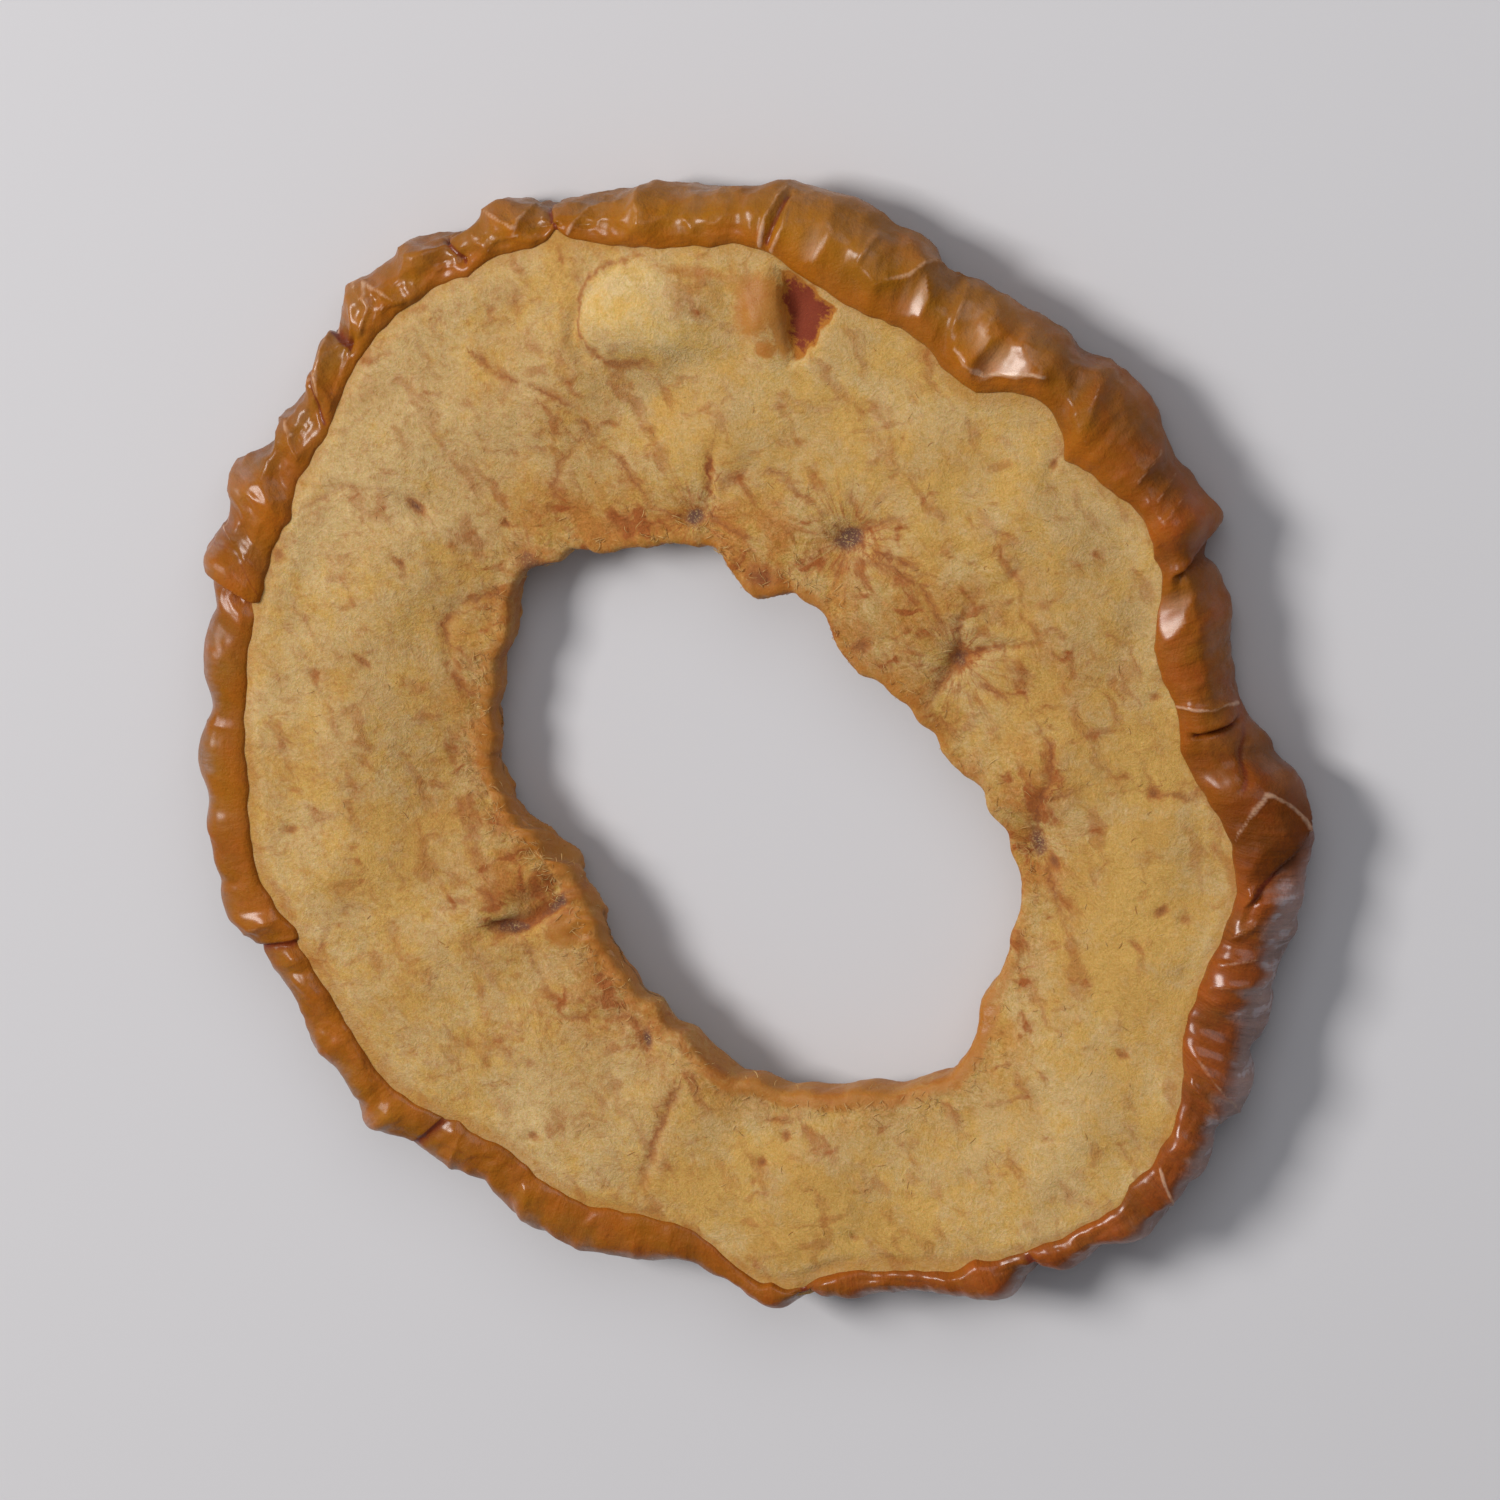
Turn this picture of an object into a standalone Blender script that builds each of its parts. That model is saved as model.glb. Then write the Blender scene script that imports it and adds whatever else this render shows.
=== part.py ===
"""A dried ring of apple: one slice cut across a cored fruit and dried until its flesh is leathery
and its skin has gathered into a rounded, pleated band round the outer edge.

The ring lies cut face up on the plane z = 0, with the middle of its outline over the origin and the
top of the slice towards +Y. Clock angles are counted from +X towards +Y. The body starts as a torus,
and each ring of its tube is then drawn out into the slice's own cross section: the skin's bulging band
outside, a flat width of flesh, and a worn edge at the core hole.
"""

import math

import bpy
import numpy as np

MM = 0.001

# Grid of the body: steps round the slice, and steps round its cross section
STEPS_ROUND = 180
SKIN_STEPS = 5
FLESH_STEPS = 7
EDGE_STEPS = 3
SECTION_STEPS = 2 * (SKIN_STEPS + FLESH_STEPS + EDGE_STEPS)

# Thickness, in millimetres; the flesh thins towards the hole as a power of the way in
SKIN_HALF_HEIGHT = 2.6
FLESH_HALF_HEIGHT = 2.05
FLESH_CROWN = 0.10
CORE_EDGE_HALF_HEIGHT = 1.45
CORE_EDGE_WIDTH = 1.1
THINNING_POWER = 2.2

# The groove where the skin's band meets the flesh: its depth in millimetres, and its share of the flesh's width
GROOVE_DEPTH = 0.22
GROOVE_PLACE = 0.09

# The slice's waviness: lobes round the edge, pressed flat at their low places by the surface below,
# and a slight dish
LOBES = 3
LOBE_CLOCK = 9.5
LOBE_RISE = 0.80
PRESSED_FLAT = 0.22
DISH_DEPTH = 0.55
DISH_CLOCK = -26

# The outer edge of the skin: clock angle in degrees, and distance from the origin in millimetres
OUTER_EDGE = (
    (0, 28.8), (6, 26.4), (16, 26.7), (30, 27.8), (46, 29.0), (60, 28.4), (76, 30.1), (96, 29.9),
    (110, 30.6), (128, 31.3), (142, 30.0), (152, 30.4), (166, 29.8), (182, 29.4), (197, 30.0), (210, 28.8),
    (223, 29.5), (236, 28.6), (246, 29.2), (260, 28.4), (270, 29.6), (278, 29.0), (296, 30.8), (312, 31.5),
    (338, 29.2), (353, 29.9),
)

# How far the skin's band reaches in over the flesh: clock angle in degrees, and width in millimetres
SKIN_BAND = (
    (0, 4.3), (8, 2.6), (20, 2.8), (30, 2.1), (43, 4.1), (50, 3.1), (58, 4.7), (66, 4.0), (76, 4.6),
    (86, 2.7), (98, 2.6), (110, 2.0), (125, 2.5), (140, 2.6), (152, 3.4), (170, 2.8), (190, 2.6), (200, 3.0),
    (212, 2.3), (232, 3.0), (250, 2.9), (262, 2.3), (273, 1.2), (283, 2.0), (300, 1.8), (316, 1.7),
    (330, 3.1), (345, 3.2),
)

# The core hole: its centre, and clock angle about that centre with distance from it, in degrees and millimetres
HOLE_CENTRE = (0.25, -3.4)
HOLE_EDGE = (
    (0, 13.0), (10, 12.1), (21, 11.0), (34, 10.7), (50, 10.2), (60, 10.6), (70, 12.2), (89, 12.4),
    (97, 14.5), (112, 15.4), (133, 17.1), (145, 16.0), (160, 15.0), (175, 13.8), (190, 11.8), (200, 10.4),
    (215, 10.7), (240, 11.8), (262, 13.7), (283, 15.0), (300, 16.2), (312, 16.1), (325, 14.8), (345, 14.4),
)

# Pleats across the skin's band: clock angle, half width and slant in degrees, and how far they sink in
# millimetres, less than 0 where they rise
PLEATS = (
    (2, 1.6, 2, 0.55), (10, 2, 0, 0.15), (18, 2, 2, -0.2), (26, 1.7, 3, 0.5), (29, 1.8, 2, -0.55),
    (35, 2, 0, 0.25), (43, 2.4, 1, -0.35), (50, 2, -2, 0.4), (58, 2.4, 2, -0.4),
    (65, 2.2, -3, 0.35), (72, 2.2, -3, 0.3), (81, 2.6, 0, -0.3), (87, 1.5, 2, 0.6),
    (97, 2.2, 1, -0.25), (103, 2.2, 2, 0.2), (109, 1.4, 0, 0.4), (113, 1.8, -3, -0.5),
    (118, 1.7, 3, 0.45), (123, 1.8, -3, -0.2), (130, 1.7, 3, -0.35), (135, 1.8, -2, 0.4),
    (142, 2.2, 2, 0.2), (148, 1.7, 1, 0.3), (153, 1.9, 0, -0.45), (157, 1.6, 2, 0.5),
    (161, 1.6, 0, -0.35), (166, 1.6, 2, 0.35), (177, 2.4, -1, 0.2), (184, 2.2, 0, -0.2),
    (191, 2.2, 1, 0.15), (199, 1.8, 0, -0.3), (202, 1.6, 0, 0.3), (214, 2.2, 0, -0.2),
    (224, 2, 1, -0.4), (228, 1.7, 0, 0.55), (236, 2.2, 0, 0.15), (241, 1.8, 1, -0.15),
    (246, 2.2, 2, 0.15), (254, 2.4, 0, -0.15), (261, 2, 0, 0.2), (270, 1.9, 0, -0.3),
    (274, 1.6, 0, 0.45), (279, 1.6, 0, -0.2), (286, 2.2, 1, 0.15), (294, 1.9, 0, -0.5),
    (299, 1.8, -2, 0.35), (309, 2.2, -2, -0.3), (313, 1.6, -2, 0.3), (318, 1.6, 3, -0.25),
    (322, 1.6, 3, 0.35), (327, 1.6, 3, -0.3), (331, 1.6, 3, 0.35), (336, 1.7, 3, -0.3),
    (341, 1.7, 2, 0.35), (347, 2.6, 4, -0.35), (354, 1.9, -5, 0.35),
)

# Swellings and hollows of the cut face: x, y, and half widths along and across in millimetres, turn in
# degrees, and height in millimetres
CUT_FACE_RELIEF = (
    (-3.9, 23.3, 3.2, 2.4, 10, 0.75),
    (-3.3, 18.8, 2.6, 1.5, 0, -0.45),
    (4.2, 24.6, 0.9, 1.9, -10, -0.9),
    (2.2, 23.4, 0.8, 1.8, 5, 0.5),
    (-11.6, -8.3, 2.8, 0.8, 35, -0.55),
    (6.1, 12.0, 1.6, 1.2, 20, -0.4),
    (11.6, 5.7, 1.7, 1.3, 60, -0.4),
    (-2.1, 12.7, 1.3, 1.6, 0, -0.35),
    (15.3, -3.8, 1.2, 1.8, 10, -0.35),
    (-17.0, 12.9, 1.8, 1.0, 0, -0.3),
    (16.0, 15.0, 4.5, 3.0, 40, 0.35),
    (-20.0, -4.0, 3.5, 5.0, 0, 0.3),
    (3.0, -22.5, 5.0, 2.5, 0, 0.3),
)

# How a pleat acts: its strength, how much of it lowers the top of the band, and how fast it turns from
# facing outwards to facing up, as a share of half a turn
PLEAT_SCALE = 1.15
PLEAT_LOWERING = 0.8
PLEAT_FACING = 0.7

# The underside has the same relief mirrored, but fainter, and all relief fades in over this many steps
# from the skin
UNDERSIDE_SHARE = 0.35
RELIEF_FADE_STEPS = 1.5

# Seeded unevenness: sine waves round the skin, round the hole's edge and across the cut faces, with
# heights and lengths in millimetres
SKIN_WAVE_TURNS = range(9, 50, 3)
SKIN_WAVE_HEIGHT = 0.045
HOLE_WAVE_TURNS = range(8, 43, 3)
HOLE_WAVE_HEIGHT = 0.09
FACE_WAVES = 16
FACE_WAVE_HEIGHT = 0.05
FACE_WAVE_LENGTHS = (6.0, 14.0)
SEED = 7

FLESH_COLOUR = (0.56, 0.36, 0.13, 1.0)
FLESH_ROUGHNESS = 0.6
SKIN_COLOUR = (0.32, 0.09, 0.012, 1.0)
SKIN_ROUGHNESS = 0.35


def around(angle, places):
    """A smooth closed curve through (degrees, value) places, read at each angle.

    Between two places it is a cubic, whose slopes are those of the chords through their neighbours.
    """
    at = np.radians([place[0] for place in places])
    value = np.array([place[1] for place in places], float)
    at = np.concatenate((at[-2:] - math.tau, at, at[:3] + math.tau))
    value = np.concatenate((value[-2:], value, value[:3]))
    slope = np.zeros_like(value)
    slope[1:-1] = (value[2:] - value[:-2]) / (at[2:] - at[:-2])
    angle = np.mod(angle, math.tau)
    i = np.searchsorted(at, angle, side="right") - 1
    span = at[i + 1] - at[i]
    t = (angle - at[i]) / span
    return (
        (1 + 2 * t) * (1 - t) ** 2 * value[i]
        + t * (1 - t) ** 2 * span * slope[i]
        + t**2 * (3 - 2 * t) * value[i + 1]
        - t**2 * (1 - t) * span * slope[i + 1]
    )


def pleated(angle, climb):
    """How far the skin sinks at a clock angle, where climb runs from -1 under the band to 1 on top of it."""
    sunk = np.zeros_like(angle)
    for clock, half_width, slant, depth in PLEATS:
        away = np.degrees(angle) - clock - slant * climb
        away = (away + 180) % 360 - 180
        sunk += depth * np.exp(-((away / half_width) ** 2))
    return PLEAT_SCALE * sunk


def skin_waves(angle, climb):
    """Fine unevenness of the skin: sine waves round the ring, each with its own phase and twist."""
    rng = np.random.default_rng(SEED)
    height = np.zeros_like(angle)
    for turns in SKIN_WAVE_TURNS:
        phase, twist = rng.uniform(0, math.tau), rng.uniform(-2, 2)
        height += np.sin(turns * angle + phase + twist * climb)
    return SKIN_WAVE_HEIGHT * height


def hole_waves(angle):
    """How far the hole's edge wanders: sine waves that grow weaker as they grow shorter."""
    rng = np.random.default_rng(SEED + 1)
    away = np.zeros_like(angle)
    for turns in HOLE_WAVE_TURNS:
        away += np.sin(turns * angle + rng.uniform(0, math.tau)) * math.sqrt(HOLE_WAVE_TURNS[0] / turns)
    return HOLE_WAVE_HEIGHT * away


def face_waves(x, y):
    """Shallow unevenness of a cut face: plane waves of seeded length, direction and phase."""
    rng = np.random.default_rng(SEED + 2)
    height = np.zeros_like(x)
    for _ in range(FACE_WAVES):
        length = rng.uniform(*FACE_WAVE_LENGTHS)
        heading = rng.uniform(0, math.tau)
        along = x * math.cos(heading) + y * math.sin(heading)
        height += np.sin(along * math.tau / length + rng.uniform(0, math.tau))
    return FACE_WAVE_HEIGHT * height


def cut_face_relief(x, y):
    """Height of the cut face above its plain level: a sum of rounded swellings and hollows."""
    height = np.zeros_like(x)
    for middle_x, middle_y, along, across, turn, rise in CUT_FACE_RELIEF:
        cosine, sine = math.cos(math.radians(turn)), math.sin(math.radians(turn))
        u = cosine * (x - middle_x) + sine * (y - middle_y)
        v = cosine * (y - middle_y) - sine * (x - middle_x)
        height += rise * np.exp(-((u / along) ** 2) - (v / across) ** 2)
    return height


def section(angle, station):
    """One point of the cross section: its height over the mid plane, and its share of the way in to the hole.

    station runs from 0 at the outermost point over the top to half of SECTION_STEPS at the hole's edge,
    and the lower half is the same with its sign turned. The skin is an arc of an ellipse, the flesh is
    nearly level, and the hole's edge is a quarter of an ellipse.
    """
    over = np.abs(station)
    side = np.where(station < 0, -1.0, 1.0)
    outer_x, outer_y, hole_x, hole_y = edges(angle)
    width = np.hypot(outer_x - hole_x, outer_y - hole_y)
    band = around(angle, SKIN_BAND)

    end = math.pi - math.asin(FLESH_HALF_HEIGHT / SKIN_HALF_HEIGHT)
    climb = np.clip(over / SKIN_STEPS, 0, 1)
    skin_in = band * (1 - np.cos(end * climb)) / (1 - math.cos(end))
    skin_up = SKIN_HALF_HEIGHT * np.sin(end * climb)

    along = np.clip((over - SKIN_STEPS) / FLESH_STEPS, 0, 1)
    flesh_in = band + (width - CORE_EDGE_WIDTH - band) * along
    thinning = (CORE_EDGE_HALF_HEIGHT - FLESH_HALF_HEIGHT) * along**THINNING_POWER
    groove = GROOVE_DEPTH * np.exp(-((along / GROOVE_PLACE - 1) ** 2))
    flesh_up = FLESH_HALF_HEIGHT + FLESH_CROWN * np.sin(math.pi * along) + thinning - groove

    turn = np.clip((over - SKIN_STEPS - FLESH_STEPS) / EDGE_STEPS, 0, 1) * math.pi / 2
    edge_in = width - CORE_EDGE_WIDTH * (1 - np.sin(turn))
    edge_up = CORE_EDGE_HALF_HEIGHT * np.cos(turn)

    on_skin = over < SKIN_STEPS
    on_edge = over > SKIN_STEPS + FLESH_STEPS
    inward = np.where(on_skin, skin_in, np.where(on_edge, edge_in, flesh_in))
    height = np.where(on_skin, skin_up, np.where(on_edge, edge_up, flesh_up))
    return side * height, inward / width


def edges(angle):
    """The outer edge and the hole's edge at a clock angle, as four arrays of x and y."""
    outer = around(angle, OUTER_EDGE)
    hole = around(angle, HOLE_EDGE) + hole_waves(angle)
    return (
        outer * np.cos(angle),
        outer * np.sin(angle),
        HOLE_CENTRE[0] + hole * np.cos(angle),
        HOLE_CENTRE[1] + hole * np.sin(angle),
    )


def slice_points(angle, station):
    """Places in millimetres of the slice's surface: three arrays of x, y and z."""
    outer_x, outer_y, hole_x, hole_y = edges(angle)
    height, share = section(angle, station)
    x = outer_x + (hole_x - outer_x) * share
    y = outer_y + (hole_y - outer_y) * share

    # The skin's pleats pull its surface in towards the middle of the band
    climb = np.clip(station / SKIN_STEPS, -1, 1)
    skin = 1 - np.abs(climb) ** 3
    sunk = (pleated(angle, climb) + skin_waves(angle, climb)) * skin
    inwards = sunk * np.cos(climb * math.pi * PLEAT_FACING)
    x = x - inwards * np.cos(angle)
    y = y - inwards * np.sin(angle)
    height = height - PLEAT_LOWERING * sunk * np.sin(climb * math.pi / 2)

    # The whole slice is slightly wavy at its outer edge and slightly dished towards the hole
    lobe = (1 - np.cos(LOBES * (angle - math.radians(LOBE_CLOCK)))) / 2
    saddle = np.cos(2 * (angle - math.radians(DISH_CLOCK)))
    edge_level = SKIN_HALF_HEIGHT - PRESSED_FLAT + LOBE_RISE * lobe * (1 - share)
    level = edge_level + PRESSED_FLAT * share - DISH_DEPTH * saddle * share**2
    flesh = np.clip((np.abs(station) - SKIN_STEPS) / RELIEF_FADE_STEPS, 0, 1)
    underside = UNDERSIDE_SHARE * cut_face_relief(-x, y)
    relief = np.where(station > 0, cut_face_relief(x, y), underside)
    height = height + np.sign(station) * flesh * (relief + face_waves(x, y))
    return x, y, np.maximum(level + height, 0.0)


def plain_material(name, colour, roughness):
    material = bpy.data.materials.new(name)
    material.use_nodes = True
    shader = material.node_tree.nodes["Principled BSDF"]
    shader.inputs["Base Color"].default_value = colour
    shader.inputs["Roughness"].default_value = roughness
    shader.inputs["Metallic"].default_value = 0.0
    material.diffuse_color = colour
    return material


def make_ring(collection):
    """The slice: a torus of radius 1 whose points are moved on to the slice's surface."""
    bpy.ops.mesh.primitive_torus_add(
        major_segments=STEPS_ROUND,
        minor_segments=SECTION_STEPS,
        major_radius=1.0,
        minor_radius=0.25,
    )
    ring = bpy.context.object
    ring.name = "apple_ring"
    mesh = ring.data
    mesh.name = "apple_ring"

    points = np.empty(len(mesh.vertices) * 3, np.float32)
    mesh.vertices.foreach_get("co", points)
    points = points.reshape(-1, 3)
    angle = np.arctan2(points[:, 1], points[:, 0])
    around_tube = np.arctan2(points[:, 2], np.hypot(points[:, 0], points[:, 1]) - 1.0)
    station = around_tube / math.pi * SECTION_STEPS / 2
    x, y, z = slice_points(angle, station)
    middle_x = (x.min() + x.max()) / 2
    middle_y = (y.min() + y.max()) / 2
    placed = np.stack((x - middle_x, y - middle_y, z - z.min()), axis=1) * MM
    mesh.vertices.foreach_set("co", placed.astype(np.float32).ravel())

    mesh.materials.append(plain_material("dried flesh", FLESH_COLOUR, FLESH_ROUGHNESS))
    mesh.materials.append(plain_material("dried skin", SKIN_COLOUR, SKIN_ROUGHNESS))
    on_skin = np.abs(station) < SKIN_STEPS - 0.5
    for face in mesh.polygons:
        face.material_index = int(on_skin[list(face.vertices)].any())
    mesh.shade_smooth()
    mesh.update()

    for owner in list(ring.users_collection):
        owner.objects.unlink(ring)
    collection.objects.link(ring)
    return ring


def main():
    for thing in list(bpy.data.objects):
        bpy.data.objects.remove(thing, do_unlink=True)
    collection = bpy.data.collections.new("dried apple ring")
    bpy.context.scene.collection.children.link(collection)
    make_ring(collection)


main()
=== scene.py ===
"""The looks of a dried ring of apple: leathery cut flesh, a glossy pleated band of skin round it, glassy
shreds of core lining and loose fibres round the core hole, on a pale floor under soft light.

Lengths are in millimetres until a mesh is made. Clock angles are counted from +X towards +Y. Across the
slice, a station of 0 is the skin's outermost line, and it rises over the top to 15 at the middle of the
hole's wall; stations below 0 are the same way under the slice. Climb is the station's share of the skin's
band, from -1 at its lower lip to 1 at its upper one.
"""

import math

import bpy
import numpy as np
from mathutils import Matrix, Vector


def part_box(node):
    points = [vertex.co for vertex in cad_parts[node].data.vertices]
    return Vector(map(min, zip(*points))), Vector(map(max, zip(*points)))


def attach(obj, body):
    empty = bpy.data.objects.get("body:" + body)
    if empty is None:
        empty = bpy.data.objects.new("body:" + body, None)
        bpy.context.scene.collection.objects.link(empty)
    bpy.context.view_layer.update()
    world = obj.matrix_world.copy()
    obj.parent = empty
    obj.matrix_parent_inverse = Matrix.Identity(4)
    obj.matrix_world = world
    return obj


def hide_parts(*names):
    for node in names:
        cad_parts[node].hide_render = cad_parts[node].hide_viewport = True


bl_info = {
    "name": "Dried apple ring",
    "version": (1, 0, 0),
    "blender": (4, 5, 0),
    "location": "3D View > Sidebar > Dried ring",
    "description": "Dresses a packed dried apple ring in its flesh, skin, core lining and fibres",
    "category": "Object",
}

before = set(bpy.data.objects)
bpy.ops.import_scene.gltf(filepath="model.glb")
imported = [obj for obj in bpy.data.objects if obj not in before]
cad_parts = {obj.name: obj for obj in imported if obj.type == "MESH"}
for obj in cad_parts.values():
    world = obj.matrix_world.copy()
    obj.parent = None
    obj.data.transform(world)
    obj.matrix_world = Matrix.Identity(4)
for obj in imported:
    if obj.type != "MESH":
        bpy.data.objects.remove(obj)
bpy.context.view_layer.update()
RING_LOW, RING_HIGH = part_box("apple_ring")

MM = 0.001

# The solid's own form, as its construction states it: steps across, heights and widths in millimetres
CAD_STEPS_ROUND = 180
SKIN_STEPS = 5
FLESH_STEPS = 7
EDGE_STEPS = 3
SKIN_HALF_HEIGHT = 2.6
FLESH_HALF_HEIGHT = 2.05
FLESH_CROWN = 0.10
CORE_EDGE_HALF_HEIGHT = 1.45
CORE_EDGE_WIDTH = 1.1
THINNING_POWER = 2.2
RIM_STATION = SKIN_STEPS + FLESH_STEPS
WALL_STATION = RIM_STATION + EDGE_STEPS
GROOVE_DEPTH = 0.22
GROOVE_PLACE = 0.09
LOBES = 3
LOBE_CLOCK = 9.5
LOBE_RISE = 0.80
PRESSED_FLAT = 0.22
DISH_DEPTH = 0.55
DISH_CLOCK = -26

# The outer edge of the skin: clock angle in degrees, and distance from the origin
OUTER_EDGE = (
    (0, 28.8), (6, 26.4), (16, 26.7), (30, 27.8), (46, 29), (60, 28.4), (76, 30.1), (96, 29.9), (110, 30.6),
    (128, 31.3), (142, 30), (152, 30.4), (166, 29.8), (182, 29.4), (197, 30), (210, 28.8), (223, 29.5),
    (236, 28.6), (246, 29.2), (260, 28.4), (270, 29.6), (278, 29), (296, 30.8), (312, 31.5), (338, 29.2),
    (353, 29.9),
)

# How far the skin's band reaches in over the flesh
SKIN_BAND = (
    (0, 4.3), (8, 2.6), (20, 2.8), (30, 2.1), (43, 4.1), (50, 3.1), (58, 4.7), (66, 4), (76, 4.6), (86, 2.7),
    (98, 2.6), (110, 2), (125, 2.5), (140, 2.6), (152, 3.4), (170, 2.8), (190, 2.6), (200, 3), (212, 2.3),
    (232, 3), (250, 2.9), (262, 2.3), (273, 1.2), (283, 2), (300, 1.8), (316, 1.7), (330, 3.1), (345, 3.2),
)

# The core hole: its centre, and clock angle about that centre with distance from it
HOLE_CENTRE = (0.25, -3.4)
HOLE_EDGE = (
    (0, 13), (10, 12.1), (21, 11), (34, 10.7), (50, 10.2), (60, 10.6), (70, 12.2), (89, 12.4), (97, 14.5),
    (112, 15.4), (133, 17.1), (145, 16), (160, 15), (175, 13.8), (190, 11.8), (200, 10.4), (215, 10.7),
    (240, 11.8), (262, 13.7), (283, 15), (300, 16.2), (312, 16.1), (325, 14.8), (345, 14.4),
)

# Pleats across the band: clock angle, half width and slant in degrees, and how far they sink in
PLEATS = (
    (2, 1.6, 2, 0.55), (10, 2, 0, 0.15), (18, 2, 2, -0.2), (26, 1.7, 3, 0.5), (29, 1.8, 2, -0.55),
    (35, 2, 0, 0.25), (43, 2.4, 1, -0.35), (50, 2, -2, 0.4), (58, 2.4, 2, -0.4), (65, 2.2, -3, 0.35),
    (72, 2.2, -3, 0.3), (81, 2.6, 0, -0.3), (87, 1.5, 2, 0.2), (97, 2.2, 1, -0.25), (103, 2.2, 2, 0.2),
    (109, 1.4, 0, 0.4), (113, 1.8, -3, -0.5), (118, 1.7, 3, 0.45), (123, 1.8, -3, -0.2), (130, 1.7, 3, -0.35),
    (135, 1.8, -2, 0.4), (142, 2.2, 2, 0.2), (148, 1.7, 1, 0.3), (153, 1.9, 0, -0.45), (157, 1.6, 2, 0.5),
    (161, 1.6, 0, -0.35), (166, 1.6, 2, 0.35), (177, 2.4, -1, 0.2), (184, 2.2, 0, -0.2), (191, 2.2, 1, 0.15),
    (199, 1.8, 0, -0.3), (202, 1.6, 0, 0.3), (214, 2.2, 0, -0.2), (224, 2, 1, -0.4), (228, 1.7, 0, 0.55),
    (236, 2.2, 0, 0.15), (241, 1.8, 1, -0.15), (246, 2.2, 2, 0.15), (254, 2.4, 0, -0.15), (261, 2, 0, 0.2),
    (270, 1.9, 0, -0.3), (274, 1.6, 0, 0.45), (279, 1.6, 0, -0.2), (286, 2.2, 1, 0.15), (294, 1.9, 0, -0.5),
    (299, 1.8, -2, 0.35), (309, 2.2, -2, -0.3), (313, 1.6, -2, 0.3), (318, 1.6, 3, -0.25),
    (322, 1.6, 3, 0.35), (327, 1.6, 3, -0.3), (331, 1.6, 3, 0.35), (336, 1.7, 3, -0.3), (341, 1.7, 2, 0.35),
    (347, 2.6, 4, -0.35), (354, 1.9, -5, 0.35),
)
PLEAT_SCALE = 1.15
PLEAT_LOWERING = 0.8
PLEAT_FACING = 0.7

# Swellings and hollows of the cut face: x, y, half widths along and across, turn in degrees, and height
CUT_FACE_RELIEF = (
    (-3.9, 23.3, 3.2, 2.4, 10, 0.75), (-3.3, 18.8, 2.6, 1.5, 0, -0.45), (4.2, 24.6, 0.9, 1.9, -10, -0.9),
    (2.2, 23.4, 0.8, 1.8, 5, 0.5), (-11.6, -8.3, 2.8, 0.8, 35, -0.55), (6.1, 12, 1.6, 1.2, 20, -0.4),
    (11.6, 5.7, 1.7, 1.3, 60, -0.4), (-2.1, 12.7, 1.3, 1.6, 0, -0.35), (15.3, -3.8, 1.2, 1.8, 10, -0.35),
    (-17, 12.9, 1.8, 1, 0, -0.3), (16, 15, 4.5, 3, 40, 0.35), (-20, -4, 3.5, 5, 0, 0.3),
    (3, -22.5, 5, 2.5, 0, 0.3),
)
UNDERSIDE_SHARE = 0.35
RELIEF_FADE_STEPS = 1.5

# The solid's seeded waves: turns round the ring, heights and lengths
SKIN_WAVE_TURNS = range(9, 50, 3)
SKIN_WAVE_HEIGHT = 0.045
HOLE_WAVE_TURNS = range(8, 43, 3)
HOLE_WAVE_HEIGHT = 0.09
FACE_WAVES = 16
FACE_WAVE_HEIGHT = 0.05
FACE_WAVE_LENGTHS = (6.0, 14.0)
SEED = 7

# The skin as a sheet: its thickness, and at its lips, how deep the flesh lies under it, the ring's radius at
# its middle and the length of its section from the outermost line to a lip
SKIN_THICKNESS = 0.22
SKIN_LIP_THICKNESS = 0.14
FLESH_BELOW_SKIN = 0.5
FLESH_BELOW_LIP = 0.1
SKIN_RADIUS = 29.5
SKIN_REACH = 4.3

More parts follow.
